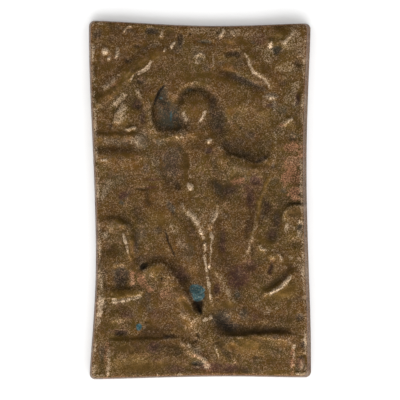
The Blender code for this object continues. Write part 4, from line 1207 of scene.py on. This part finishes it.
# Foxy brown oxide.
rust = stain(seed=51, spread=0.45, patches=(
    (3.5, 39.0, 1.2, 0.7, 0.8), (6.8, 33.5, 1.2, 0.9, 0.9), (-17.0, 8.6, 2.9, 1.1, 0.9),
    (-8.6, -3.4, 1.5, 1.1, 0.9), (-8.0, -7.4, 1.6, 1.3, 0.8), (-6.0, -12.0, 0.8, 1.0, 0.9),
    (-3.8, -13.6, 0.9, 0.9, 0.8), (15.0, -17.5, 1.4, 1.2, 0.9), (8.0, 22.0, 1.0, 1.2, 0.8),
    (8.5, 18.0, 1.1, 0.9, 0.7), (-1.5, 22.7, 1.2, 0.8, 0.6), (-3.2, -30.0, 2.4, 1.5, 0.8, -40.0),
    (8.2, -36.6, 1.4, 1.2, 0.9), (16.6, -28.6, 5.0, 1.9, 0.9), (13.0, -38.6, 4.0, 2.0, 0.8),
    (25.5, 17.0, 0.7, 1.2, 0.9), (9.0, 4.5, 1.0, 0.7, 0.8), (24.0, 4.0, 0.8, 0.9, 1.0),
    (-25.0, -14.5, 0.9, 1.2, 0.7), (-1.5, -19.4, 1.0, 1.0, 0.8), (20.5, -36.5, 1.4, 0.9, 0.8),
    (26.0, 37.0, 0.5, 5.0, 0.8), (-9.7, 9.0, 0.5, 2.8, 0.7), (25.6, -13.8, 0.6, 1.4, 0.8),
    (-10.9, 21.4, 0.5, 1.6, 0.8), (10.5, 30.0, 2.2, 0.8, 0.5, -20.0),
))

# Dull green salts, thickest in the hollow to the left of the head.
dull_green = stain(seed=61, spread=0.28, patches=(
    (1.2, 39.6, 1.9, 0.5, 1.0), (19.3, 37.6, 1.3, 1.0, 0.9), (13.2, 39.5, 0.6, 0.5, 0.9),
    (-10.0, 14.5, 1.4, 0.9, 0.8), (-7.6, 20.6, 3.0, 3.2, 1.2), (-9.6, 25.6, 1.1, 2.6, 1.0, -22.0),
    (-8.6, 23.2, 1.8, 2.0, 1.1), (0.4, -41.0, 1.6, 0.8, 0.9), (-2.5, 27.4, 0.9, 0.4, 1.0),
    (18.4, 23.3, 0.5, 0.9, 0.8), (20.5, 22.5, 1.2, 1.4, 0.7), (23.5, 16.0, 1.5, 0.9, 0.7),
    (-20.5, 5.0, 2.4, 1.8, 0.6), (-19.6, -0.7, 0.7, 0.6, 1.0), (4.8, 2.6, 1.2, 2.5, 0.7, 25.0),
    (-6.8, -2.4, 0.6, 0.9, 0.9), (18.2, 4.6, 1.1, 1.1, 0.5), (21.0, 2.4, 0.8, 0.7, 0.5),
    (-3.0, -13.0, 1.8, 2.4, 0.6), (25.0, -7.0, 1.1, 1.1, 0.9), (-24.5, -38.2, 0.8, 2.0, 0.7),
    (11.0, -28.5, 1.2, 1.4, 0.8), (9.5, -23.7, 0.8, 1.0, 1.0), (-1.0, -40.9, 1.5, 0.7, 1.0),
    (5.4, -29.4, 2.2, 2.4, 0.6), (14.2, -40.6, 1.4, 1.6, 0.4), (17.7, 39.9, 0.8, 0.6, 0.6),
))

# Yellower bronze, where the patina is thin.
clean = stain(seed=71, spread=0.4, patches=(
    (-16.0, -41.4, 8.0, 2.2, 0.8), (-14.6, -38.9, 4.0, 0.8, 0.8), (13.0, -36.2, 7.0, 1.8, 0.5),
    (21.4, -23.4, 4.0, 1.6, 1.0, 20.0), (24.2, -3.4, 2.6, 1.0, 0.6), (21.4, 32.9, 2.0, 1.0, 1.0),
    (-10.6, -4.6, 2.8, 2.4, 0.8), (-19.6, -23.4, 4.6, 0.9, 0.6), (3.4, -27.0, 2.0, 2.4, 0.5),
    (5.0, 35.5, 1.2, 0.7, 0.9), (20.5, 33.2, 2.0, 1.2, 1.0), (-19.0, 19.6, 1.1, 1.0, 0.8),
    (-16.2, 22.0, 1.5, 0.6, 0.8, -25.0), (16.2, 21.5, 1.5, 0.9, 0.9), (22.5, 18.2, 1.9, 0.8, 0.8),
    (16.6, 4.2, 0.5, 2.6, 1.0, -24.0), (14.9, -1.2, 0.5, 2.9, 1.0, -12.0),
    (13.4, -7.4, 0.4, 3.0, 0.8, -16.0), (-3.7, 8.6, 0.6, 3.4, 0.8), (-3.8, 1.5, 1.0, 0.8, 0.8),
    (2.0, 1.8, 1.2, 0.8, 0.7), (21.5, -2.6, 0.8, 1.6, 0.9, -30.0), (22.7, -8.9, 1.1, 0.8, 0.8),
    (15.0, -10.5, 1.2, 0.8, 0.8), (18.0, -14.0, 1.2, 0.9, 0.9), (22.0, -22.2, 2.4, 1.1, 0.8, 25.0),
    (-14.9, -27.5, 0.6, 1.9, 0.8), (-19.0, -37.0, 2.8, 1.2, 0.7), (19.0, -43.0, 2.8, 0.7, 0.8),
    (20.0, -24.8, 1.8, 0.8, 0.8), (15.5, -37.5, 2.4, 1.6, 0.6), (-8.4, -6.0, 3.0, 3.0, 0.5),
))

# Red copper oxide, mostly at the right edge.
copper_red = stain(seed=81, spread=0.12, ragged=1.0, patches=(
    (23.3, 8.6, 2.2, 2.4, 0.9), (23.2, 13.3, 1.9, 1.2, 1.0), (22.0, 6.0, 1.6, 2.0, 1.0),
    (24.4, 6.0, 1.0, 1.2, 0.9), (23.6, 1.6, 1.4, 1.4, 1.1), (9.6, 4.6, 1.8, 1.0, 0.8),
    (-8.6, -23.4, 1.8, 1.2, 0.6), (21.5, 3.9, 0.8, 0.8, 0.7), (23.9, 0.9, 1.2, 1.0, 0.9),
    (-17.0, -19.5, 0.6, 1.6, 1.0), (-14.6, -20.0, 0.9, 1.8, 1.1, 30.0),
    (-12.8, -22.2, 1.2, 0.7, 0.8, -40.0), (8.8, 4.3, 1.0, 0.7, 0.8), (20.6, 18.7, 0.9, 0.6, 0.9),
    (-25.2, -27.0, 0.5, 3.0, 0.7), (2.0, -41.3, 0.7, 1.4, 0.8), (25.2, -40.9, 0.8, 1.4, 0.8),
    (-23.2, -40.0, 0.8, 3.4, 0.6), (0.3, -38.8, 1.6, 0.7, 0.8), (23.1, -40.0, 0.6, 3.2, 0.8),
    (-14.0, -38.8, 2.0, 0.5, 0.8), (-19.8, -18.8, 0.7, 1.4, 0.3), (-21.2, 29.6, 1.6, 1.1, 0.5, 45.0),
    (25.0, 11.4, 0.5, 1.6, 0.9), (21.8, 12.4, 0.7, 0.5, 0.8),
))

# A violet film, under the staff and along the foot.
violet = stain(seed=91, spread=0.3, patches=(
    (-11.6, -36.7, 1.9, 1.6, 1.0), (9.6, -19.2, 2.6, 2.8, 1.3), (12.4, -16.6, 1.8, 1.8, 0.9),
    (12.6, 1.0, 1.8, 3.0, 0.9), (13.8, 4.6, 1.6, 1.6, 0.9), (7.4, 2.4, 1.8, 1.4, 0.7),
    (-19.3, 1.2, 1.5, 0.8, 1.0, 40.0), (-11.8, 5.1, 2.2, 0.45, 0.9), (-12.4, 3.2, 1.8, 0.45, 0.9),
    (4.2, -22.2, 0.9, 1.6, 1.0), (5.8, -10.6, 0.7, 3.6, 0.9), (18.2, -8.6, 1.3, 1.3, 0.7),
    (16.8, -1.6, 0.9, 1.3, 0.7), (5.0, -42.0, 6.0, 1.1, 1.1), (-6.0, -42.2, 2.6, 1.0, 0.8),
    (-11.4, -40.0, 1.3, 0.6, 0.8), (-4.6, -18.6, 1.6, 2.2, 0.8), (13.8, -29.2, 1.0, 1.0, 0.7),
    (-7.0, 9.2, 2.4, 3.4, 0.35), (-15.8, 23.8, 1.0, 1.3, 0.9, -30.0), (-14.3, 20.5, 0.6, 1.6, 0.8),
    (24.4, 25.4, 0.8, 1.8, 0.9), (17.4, 23.5, 1.2, 0.6, 0.8), (14.6, 40.4, 1.7, 1.4, 0.75),
    (-18.4, -28.6, 1.8, 1.0, 0.8), (-20.0, -32.8, 1.8, 0.8, 0.8), (-11.0, -28.4, 2.0, 1.6, 0.6),
    (17.7, -17.0, 0.6, 1.8, 1.0), (-13.0, -14.4, 1.2, 1.0, 0.6), (2.2, 12.3, 1.0, 0.9, 0.8),
))

# Pale grey salts.
grey = stain(seed=97, spread=0.3, patches=(
    (-14.8, 14.5, 1.9, 1.9, 1.0), (17.9, 25.9, 1.7, 0.9, 1.0), (-15.2, 16.0, 1.4, 0.6, 0.8),
    (25.4, -40.9, 0.9, 1.8, 1.1), (-20.7, 36.8, 0.7, 1.7, 0.9), (-14.6, -8.4, 1.3, 1.4, 0.7),
    (18.7, 23.6, 0.7, 1.6, 0.8), (-9.8, 27.6, 0.6, 1.2, 0.7, -30.0), (-7.6, -1.4, 0.7, 1.9, 0.9, 35.0),
    (-23.4, 3.0, 1.2, 3.2, 0.7, -25.0), (25.4, -6.6, 1.2, 1.6, 0.8), (-21.2, -6.2, 2.2, 0.7, 0.6),
    (-12.6, -27.0, 1.0, 1.2, 0.7), (-10.4, -7.6, 1.2, 1.0, 0.7), (-19.8, -19.0, 2.0, 2.4, 0.4),
))

# Blue-green crusts, the largest between the feet.
verdigris = stain(seed=21, spread=0.0, ragged=0.35, patches=(
    (-0.9, -22.4, 1.9, 1.1, 1.1), (-0.5, -24.0, 1.4, 1.3, 1.1), (-15.3, -31.8, 0.75, 1.0, 0.9),
    (-7.3, 18.7, 0.9, 0.4, 0.4), (-7.2, 21.0, 0.35, 1.9, 0.55), (-9.7, 25.6, 0.6, 0.3, 0.6),
))

# ------------------------------------------------------------------------------------------------
# The body. The relief face, the drafted walls with rounded edges and the plain flat back are one
# closed skin. It rests on its back, as the casting lay in the mould, and stands for the CAD solid.
# ------------------------------------------------------------------------------------------------
BACK_ROUND = 0.3
BACK_UNEVEN = 0.12            # how far the back is hollowed, at most
BACK_COARSER = 4              # cells of the face to one of the back
BACK_RING_INSET = 0.8
BACK_GRID_INSET = 1.6
EDGE_TURNS = (0.52, 1.05, 1.57)          # in radians, down round the edge of the face
BACK_TURNS = (0.0, 0.7, 1.57)
WALL_SHARES = (0.75, 0.5, 0.25)          # of the height, and of the draft
WALL_INSET = 0.06


def around(columns, rows):
    """Grid positions (column, row) once round the border, anticlockwise from the first corner."""
    across, up = np.arange(columns), np.arange(rows)
    i = np.concatenate([across, np.full(rows, columns), columns - across, np.zeros(rows, int)])
    j = np.concatenate([np.zeros(columns, int), up, np.full(columns, rows), rows - up])
    return i, j


points = []
cells = []
quads = []
triangles = []


def add(px, py, pz, cell):
    """Puts in points, each with the face's cell whose finish it shares, and returns their numbers."""
    first = sum(len(block) for block in points)
    points.append(np.stack([px.ravel(), py.ravel(), pz.ravel()], axis=1))
    cells.append(cell.ravel())
    return first + np.arange(px.size).reshape(px.shape)


def grid_faces(n):
    """Faces between neighbours of a grid of numbers, which turn over if its rows are reversed."""
    corners = (n[:-1, :-1], n[:-1, 1:], n[1:, 1:], n[1:, :-1])
    quads.append(np.stack([c.ravel() for c in corners], axis=1))


def band(upper, lower):
    """Faces between two rings of as many points."""
    quads.append(np.stack([upper, lower, np.roll(lower, -1), np.roll(upper, -1)], axis=1))


def halving_band(upper, lower):
    """Triangles from a ring to one of half as many points, three for each point of the lower one."""
    a, b, c = upper[::2], upper[1::2], np.roll(upper[::2], -1)
    d, e = lower, np.roll(lower, -1)
    triangles.extend(np.stack(corners, axis=1) for corners in ((a, d, b), (b, d, e), (b, e, c)))


cell = np.arange(x.size).reshape(x.shape)
face = add(x, y, THICKNESS + rise, cell)
grid_faces(face)
ring_i, ring_j = around(COLUMNS, ROWS)
ring_u, ring_v, ring_cell = ring_i / COLUMNS, ring_j / ROWS, cell[ring_j, ring_i]
rim = THICKNESS + rise[ring_j, ring_i]
wobble = 0.10 * lattice(ring_i, ring_j, 14.0, 71) + 0.05 * lattice(ring_i, ring_j, 4.0, 72)

# Rings down the wall, each with its inset, its share of the draft and its height.
wall = []
for turn in EDGE_TURNS:
    wall.append((EDGE_ROUND * (1 - math.sin(turn)), 1.0, rim - EDGE_ROUND * (1 - math.cos(turn))))
for share in WALL_SHARES:
    wall.append((WALL_INSET + wobble, share, BACK_ROUND + (rim - EDGE_ROUND - BACK_ROUND) * share))
for turn in BACK_TURNS:
    wall.append((BACK_ROUND * (1 - math.cos(turn)), 0.0, BACK_ROUND * (1 - math.sin(turn)) + 0 * rim))
ring = face[ring_j, ring_i]
for inset, lean, z in wall:
    lower = add(*level(ring_u, ring_v, inset, lean), z, ring_cell)
    band(ring, lower)
    ring = lower
lower = add(*level(ring_u[::2], ring_v[::2], BACK_RING_INSET, 0.0), 0 * rim[::2], ring_cell[::2])
halving_band(ring, lower)

# The back is a coarser grid, a little hollowed away from its rim.
back_columns, back_rows = COLUMNS // BACK_COARSER, ROWS // BACK_COARSER
back_u, back_v = share_u[::BACK_COARSER, ::BACK_COARSER], share_v[::BACK_COARSER, ::BACK_COARSER]
back_x, back_y = level(back_u, back_v, BACK_GRID_INSET, 0.0)
back_gap = rim_gap[::BACK_COARSER, ::BACK_COARSER] - EDGE_ROUND
hollow = 0.6 + 0.25 * lattice(back_x, back_y, 9.0, 81) + 0.15 * lattice(back_x, back_y, 2.5, 82)
hollow *= BACK_UNEVEN * smooth_step(back_gap / 4.0)
back = add(back_x, back_y, hollow, cell[::BACK_COARSER, ::BACK_COARSER])
back_i, back_j = around(back_columns, back_rows)
halving_band(lower, back[back_j, back_i])
grid_faces(back[::-1])

faces = np.concatenate(quads).tolist() + np.concatenate(triangles).tolist()
mesh = bpy.data.meshes.new("icon_plaque_bronze")
mesh.from_pydata(np.concatenate(points) * MM, [], faces)
mesh.shade_smooth()
plaque = bpy.data.objects.new("icon_plaque_bronze", mesh)
bpy.context.scene.collection.objects.link(plaque)

# Each point carries its cell's finishes. The walls and the back have less of each, and a bloom of
# copper red all over.
OFF_FACE_SHARE = 0.5
OFF_FACE_RED = 0.5
cells = np.concatenate(cells)
on_face = np.arange(cells.size) < x.size
finishes = {
    "bare_and_glint": bare_and_glint, "sleek": sleek, "dirt_and_shade": dirt_and_shade, "hollow_fine": fine_hollow, "hollow_wide": wide_hollow,
    "slate": slate, "rust": rust, "dull_green": dull_green, "clean": clean,
    "copper_red": copper_red, "violet": violet, "grey": grey, "verdigris": verdigris,
}
for name, field in finishes.items():
    values = field.ravel()[cells]
    off_face = OFF_FACE_SHARE * values + OFF_FACE_RED * (name == "copper_red")
    values = np.where(on_face, values, off_face).astype(np.float32)
    mesh.attributes.new(name, "FLOAT", "POINT").data.foreach_set("value", values)


# ------------------------------------------------------------------------------------------------
# The bronze. A brown-olive patina lies over a warm, pinkish metal. It is granular, rubbed through
# on the crests, where painted highlights add to the bright metal, dull in the hollows, which carry
# painted shade, and stained where the patches above say.
# ------------------------------------------------------------------------------------------------
OLIVE = (0.084, 0.0450, 0.0050, 1.0)             # the patina's ground, with BROWN
BROWN = (0.100, 0.0430, 0.0050, 1.0)
UMBER = (0.072, 0.0360, 0.0180, 1.0)             # mottles in the ground
MOSS = (0.080, 0.0470, 0.0060, 1.0)
OCHRE = (0.110, 0.0600, 0.0120, 1.0)
SOOT = (0.046, 0.0260, 0.0080, 1.0)
HANDLED = (0.070, 0.0385, 0.0042, 1.0)           # the patina where it is worn sleek
CLEAN_BRONZE = (0.126, 0.0660, 0.0110, 1.0)
# Bright metal, where it is rubbed through and where highlights are painted.
BARE_METAL_AND_GLINT = (0.400, 0.2950, 0.1950, 1.0)
# The tint of the pale specks on the grain: dust, and painted glints.
DUST_AND_GLINT = (1.0, 0.76, 0.48)
FILMS = {
    "rust": (0.125, 0.0520, 0.0060, 1.0),
    "slate": (0.052, 0.0370, 0.0260, 1.0),
    "dull_green": (0.052, 0.0500, 0.0360, 1.0),
    "violet": (0.072, 0.0270, 0.0195, 1.0),
    "grey": (0.098, 0.0720, 0.0460, 1.0),
}
OXIDE_DARK, OXIDE_LIGHT = (0.150, 0.0660, 0.0300, 1.0), (0.390, 0.1750, 0.0920, 1.0)
CRUST_DARK, CRUST_LIGHT = (0.020, 0.0700, 0.0800, 1.0), (0.070, 0.1650, 0.1800, 1.0)
SPECULAR = 0.15
GRAIN = 0.16                                     # the sizes of the crystals in the patina
CLUMP = 0.34
BUMP_HEIGHT = 0.05

bronze = bpy.data.materials.new("patinated_bronze")
bronze.use_nodes = True
tree = bronze.node_tree
shader = tree.nodes["Principled BSDF"]
plaque.data.materials.append(bronze)


def feed(socket, value):
    """Links an output to the socket, or sets the socket's own value."""
    if isinstance(value, bpy.types.NodeSocket):
        tree.links.new(value, socket)
    else:
        socket.default_value = value


def worn(name):
    """One of the finish attributes above."""
    node = tree.nodes.new("ShaderNodeAttribute")
    node.attribute_name = name
    return node.outputs["Fac"]


def calc(operation, a, b=0.0, c=0.0):
    """One step of arithmetic."""
    node = tree.nodes.new("ShaderNodeMath")
    node.operation = operation
    for socket, value in zip(node.inputs, (a, b, c)):
        feed(socket, value)
    return node.outputs[0]


def grade(value, low, high, bottom=0.0, top=1.0):
    """The value's place between low and high, held within them, as a number from bottom to top."""
    node = tree.nodes.new("ShaderNodeMapRange")
    for socket, given in zip(node.inputs, (value, low, high, bottom, top)):
        feed(socket, given)
    return node.outputs[0]


def blend(share, first, second):
    """A colour between two colours."""
    node = tree.nodes.new("ShaderNodeMix")
    node.data_type = "RGBA"
    feed(node.inputs["Factor"], share)
    feed(node.inputs[6], first)
    feed(node.inputs[7], second)
    return node.outputs[2]


place = tree.nodes.new("ShaderNodeTexCoord").outputs["Object"]


def moved(seed):
    """The place, shifted by the seed, so that no two patterns on it are alike."""
    node = tree.nodes.new("ShaderNodeMapping")
    feed(node.inputs["Vector"], place)
    feed(node.inputs["Location"], (seed * MM, 0.7 * seed * MM, 0.0))
    return node.outputs[0]


def noise(size, detail, rough, seed):
    """Fractal noise with grains of about that size in millimetres, from 0 to 1."""
    node = tree.nodes.new("ShaderNodeTexNoise")
    feed(node.inputs["Vector"], moved(seed))
    feed(node.inputs["Scale"], 0.5 / (size * MM))
    feed(node.inputs["Detail"], detail)
    feed(node.inputs["Roughness"], rough)
    return node.outputs[0]


def crystals(size, seed):
    """Voronoi cells of about that size in millimetres, with a number from 0 to 1 for each."""
    node = tree.nodes.new("ShaderNodeTexVoronoi")
    feed(node.inputs["Vector"], moved(seed))
    feed(node.inputs["Scale"], 1.0 / (size * MM))
    parts = tree.nodes.new("ShaderNodeSeparateColor")
    feed(parts.inputs[0], node.outputs["Color"])
    return parts.outputs[0]


def dim(colour, factor):
    """The colour times a number."""
    node = tree.nodes.new("ShaderNodeVectorMath")
    node.operation = "SCALE"
    feed(node.inputs[0], colour)
    feed(node.inputs["Scale"], factor)
    return node.outputs[0]


def add_dust_and_glints(colour, amount):
    """The colour with that much pale dust and painted glint on it."""
    node = tree.nodes.new("ShaderNodeVectorMath")
    node.operation = "MULTIPLY_ADD"
    feed(node.inputs[0], amount)
    feed(node.inputs[1], DUST_AND_GLINT)
    feed(node.inputs[2], colour)
    return node.outputs[0]


# How much of the grain still shows, and the patterns that break up the patina.
pitted = grade(worn("sleek"), 0.0, 0.9, 1.1, 0.06)
grain = crystals(GRAIN, seed=5.0)
clump = crystals(CLUMP, seed=17.0)
mottle = noise(size=0.9, detail=2.0, rough=0.5, seed=23.0)
mottle_hue = noise(size=1.5, detail=3.0, rough=0.6, seed=43.0)
drift = noise(size=3.5, detail=2.0, rough=0.5, seed=11.0)
speckle = calc("ADD", calc("MULTIPLY", grain, 0.92), calc("MULTIPLY", clump, 0.08))


def film(colour, name, over):
    """The colour with a film of another over it, broken up by the mottling and the grain."""
    share = calc("ADD", calc("MULTIPLY", mottle, 1.2), calc("MULTIPLY_ADD", speckle, 0.7, worn(name)))
    return blend(grade(share, 1.1, 2.1, 0.0, 0.9), colour, over)


# The patina: its ground, the mottles in it, the sleek places, and the films and crusts over it.
patina = blend(grade(drift, 0.4, 0.6), OLIVE, BROWN)
patina = blend(grade(mottle_hue, 0.52, 0.66, 0.0, 0.4), patina, UMBER)
patina = blend(grade(mottle_hue, 0.44, 0.34, 0.0, 0.4), patina, MOSS)
patina = blend(grade(mottle, 0.55, 0.70, 0.0, 0.25), patina, OCHRE)
patina = blend(grade(mottle, 0.42, 0.30, 0.0, 0.25), patina, SOOT)
patina = blend(grade(worn("sleek"), 0.0, 1.0, 0.0, 0.7), patina, HANDLED)
for name, colour in FILMS.items():
    patina = film(patina, name, colour)
patina = film(patina, "copper_red", blend(grade(speckle, 0.25, 0.75), OXIDE_DARK, OXIDE_LIGHT))
patina = film(patina, "clean", CLEAN_BRONZE)
crust = blend(grade(mottle, 0.42, 0.6), CRUST_DARK, CRUST_LIGHT)
patina = blend(grade(worn("verdigris"), 0.3, 0.75, 0.0, 0.95), patina, crust)

# The grain: dark pits between the crystals, and pale specks on the few that stand highest,
# partly dust and partly painted glints.
patina = dim(patina, grade(speckle, 0.0, 0.5, grade(pitted, 0.2, 1.0, 0.85, 0.62), 1.0))
frost = calc("POWER", grade(speckle, 0.3, 1.0), 3.5)
bloom = calc("MULTIPLY", pitted, grade(worn("violet"), 0.1, 0.9, 0.195, 0.09))
patina = add_dust_and_glints(patina, calc("MULTIPLY", frost, bloom))
# Painted shade: darker in the wide hollows, the deeper a place lies below what is farther off.
patina = dim(patina, grade(worn("hollow_wide"), -0.2, 0.45, 0.95, 0.5))
# Darker where the strokes lay dirt and painted shade.
patina = dim(patina, grade(worn("dirt_and_shade"), 0.0, 1.0, 1.0, 0.15))

# The rubbed metal, which breaks through the patina on the crests and between the grains. Places
# that stand above their surroundings also get bright metal as a painted highlight.
polish_and_glint = calc("ADD", worn("bare_and_glint"), grade(worn("hollow_fine"), 0.0, -0.12, 0.0, 0.3))
broken = calc("MULTIPLY", polish_and_glint, grade(speckle, 0.2, 0.8, 0.45, 1.35))
rubbed_and_glint = grade(calc("MULTIPLY_ADD", speckle, calc("MULTIPLY", pitted, 0.36), broken), 0.40, 1.35)
matt = grade(worn("hollow_wide"), -0.1, 0.4, 0.42, 0.7)
feed(shader.inputs["Base Color"], blend(rubbed_and_glint, patina, BARE_METAL_AND_GLINT))
feed(shader.inputs["Specular IOR Level"], SPECULAR)
feed(shader.inputs["Metallic"], grade(rubbed_and_glint, 0.0, 1.0, 0.62, 1.0))
feed(shader.inputs["Roughness"], calc("ADD", matt, grade(grain, 0.0, 1.0, 0.06, -0.08)))
bump = tree.nodes.new("ShaderNodeBump")
feed(bump.inputs["Distance"], BUMP_HEIGHT * MM)
feed(bump.inputs["Strength"], 1.0)
skin = calc("MULTIPLY_ADD", mottle, 0.35, calc("MULTIPLY", speckle, 0.12))
feed(bump.inputs["Height"], calc("MULTIPLY", skin, pitted))
feed(shader.inputs["Normal"], bump.outputs[0])

# The casting has no moving part, and stands for the CAD solid in its one slot.
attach(plaque, "root")
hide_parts("icon_plaque")

# ------------------------------------------------------------------------------------------------
# The table. A plain board, painted an even pale white. It is no part of the object, which only
# lies on it with its relief upwards.
# ------------------------------------------------------------------------------------------------
TABLE_SIZE = 3.0              # in metres, so that no edge of it comes into view
TABLE_GAP = 0.01
BOARD_WHITE = (0.80, 0.80, 0.80, 1.0)
BOARD_ROUGHNESS = 0.9
bpy.ops.mesh.primitive_plane_add(size=TABLE_SIZE, location=(0.0, 0.0, low[2] - TABLE_GAP * MM))
table = bpy.context.object
table.name = "table"
board = bpy.data.materials.new("pale_board")
board.use_nodes = True
board_shader = board.node_tree.nodes["Principled BSDF"]
board_shader.inputs["Base Color"].default_value = BOARD_WHITE
board_shader.inputs["Roughness"].default_value = BOARD_ROUGHNESS
table.data.materials.append(board)

# ------------------------------------------------------------------------------------------------
# The light. The plaque lies in a white tent, brightest past its lower end and dim straight above,
# with one soft lamp low beyond that end to draw glints along the crests.
# ------------------------------------------------------------------------------------------------
TENT_WHITE = (1.0, 1.0, 1.0, 1.0)
TENT_DIM = 0.6
TENT_BRIGHT = 2.0
LAMP_POWER = 4.8              # in watts, and the lamp's place and size are in metres
LAMP_PLACE = (0.0, -0.75, 0.9)
LAMP_SIZE = (0.8, 0.5)
scene = bpy.context.scene
scene.view_settings.view_transform = "Standard"
tent = bpy.data.worlds.new("white_tent")
tent.use_nodes = True
scene.world = tent
tree = tent.node_tree         # feed, calc and grade now work on the tent's nodes
direction = tree.nodes.new("ShaderNodeSeparateXYZ")
feed(direction.inputs[0], tree.nodes.new("ShaderNodeTexCoord").outputs["Generated"])
side = calc("ABSOLUTE", direction.outputs["X"])
toward = calc("MULTIPLY_ADD", side, 0.45, calc("MULTIPLY", direction.outputs["Y"], -1.0))
height = grade(direction.outputs["Z"], 0.0, 0.5, 0.35, 1.0)
glow = calc("MULTIPLY", grade(toward, -0.35, 0.8, TENT_DIM, TENT_BRIGHT), height)
feed(tree.nodes["Background"].inputs["Strength"], glow)
feed(tree.nodes["Background"].inputs["Color"], TENT_WHITE)

softbox = bpy.data.lights.new("key_light", "AREA")
softbox.shape = "RECTANGLE"
softbox.size, softbox.size_y = LAMP_SIZE
softbox.energy = LAMP_POWER
lamp = bpy.data.objects.new("key_light", softbox)
lamp.location = LAMP_PLACE
lamp.rotation_euler = (-mathutils.Vector(LAMP_PLACE)).to_track_quat("-Z", "Y").to_euler()
scene.collection.objects.link(lamp)

# ------------------------------------------------------------------------------------------------
# The camera. It has a long lens and hangs over the middle of the plaque, looking straight down,
# with the plaque's upper end at the top.
# ------------------------------------------------------------------------------------------------
LENS = 150.0
FRAME_WIDTH = 100.0           # how much comes into view, across the plaque's face
camera = bpy.data.objects.new("camera", bpy.data.cameras.new("camera"))
camera.data.lens = LENS
distance = FRAME_WIDTH * LENS / camera.data.sensor_width
camera.location = (0.0, 0.0, low[2] + (THICKNESS + distance) * MM)
scene.collection.objects.link(camera)
scene.camera = camera
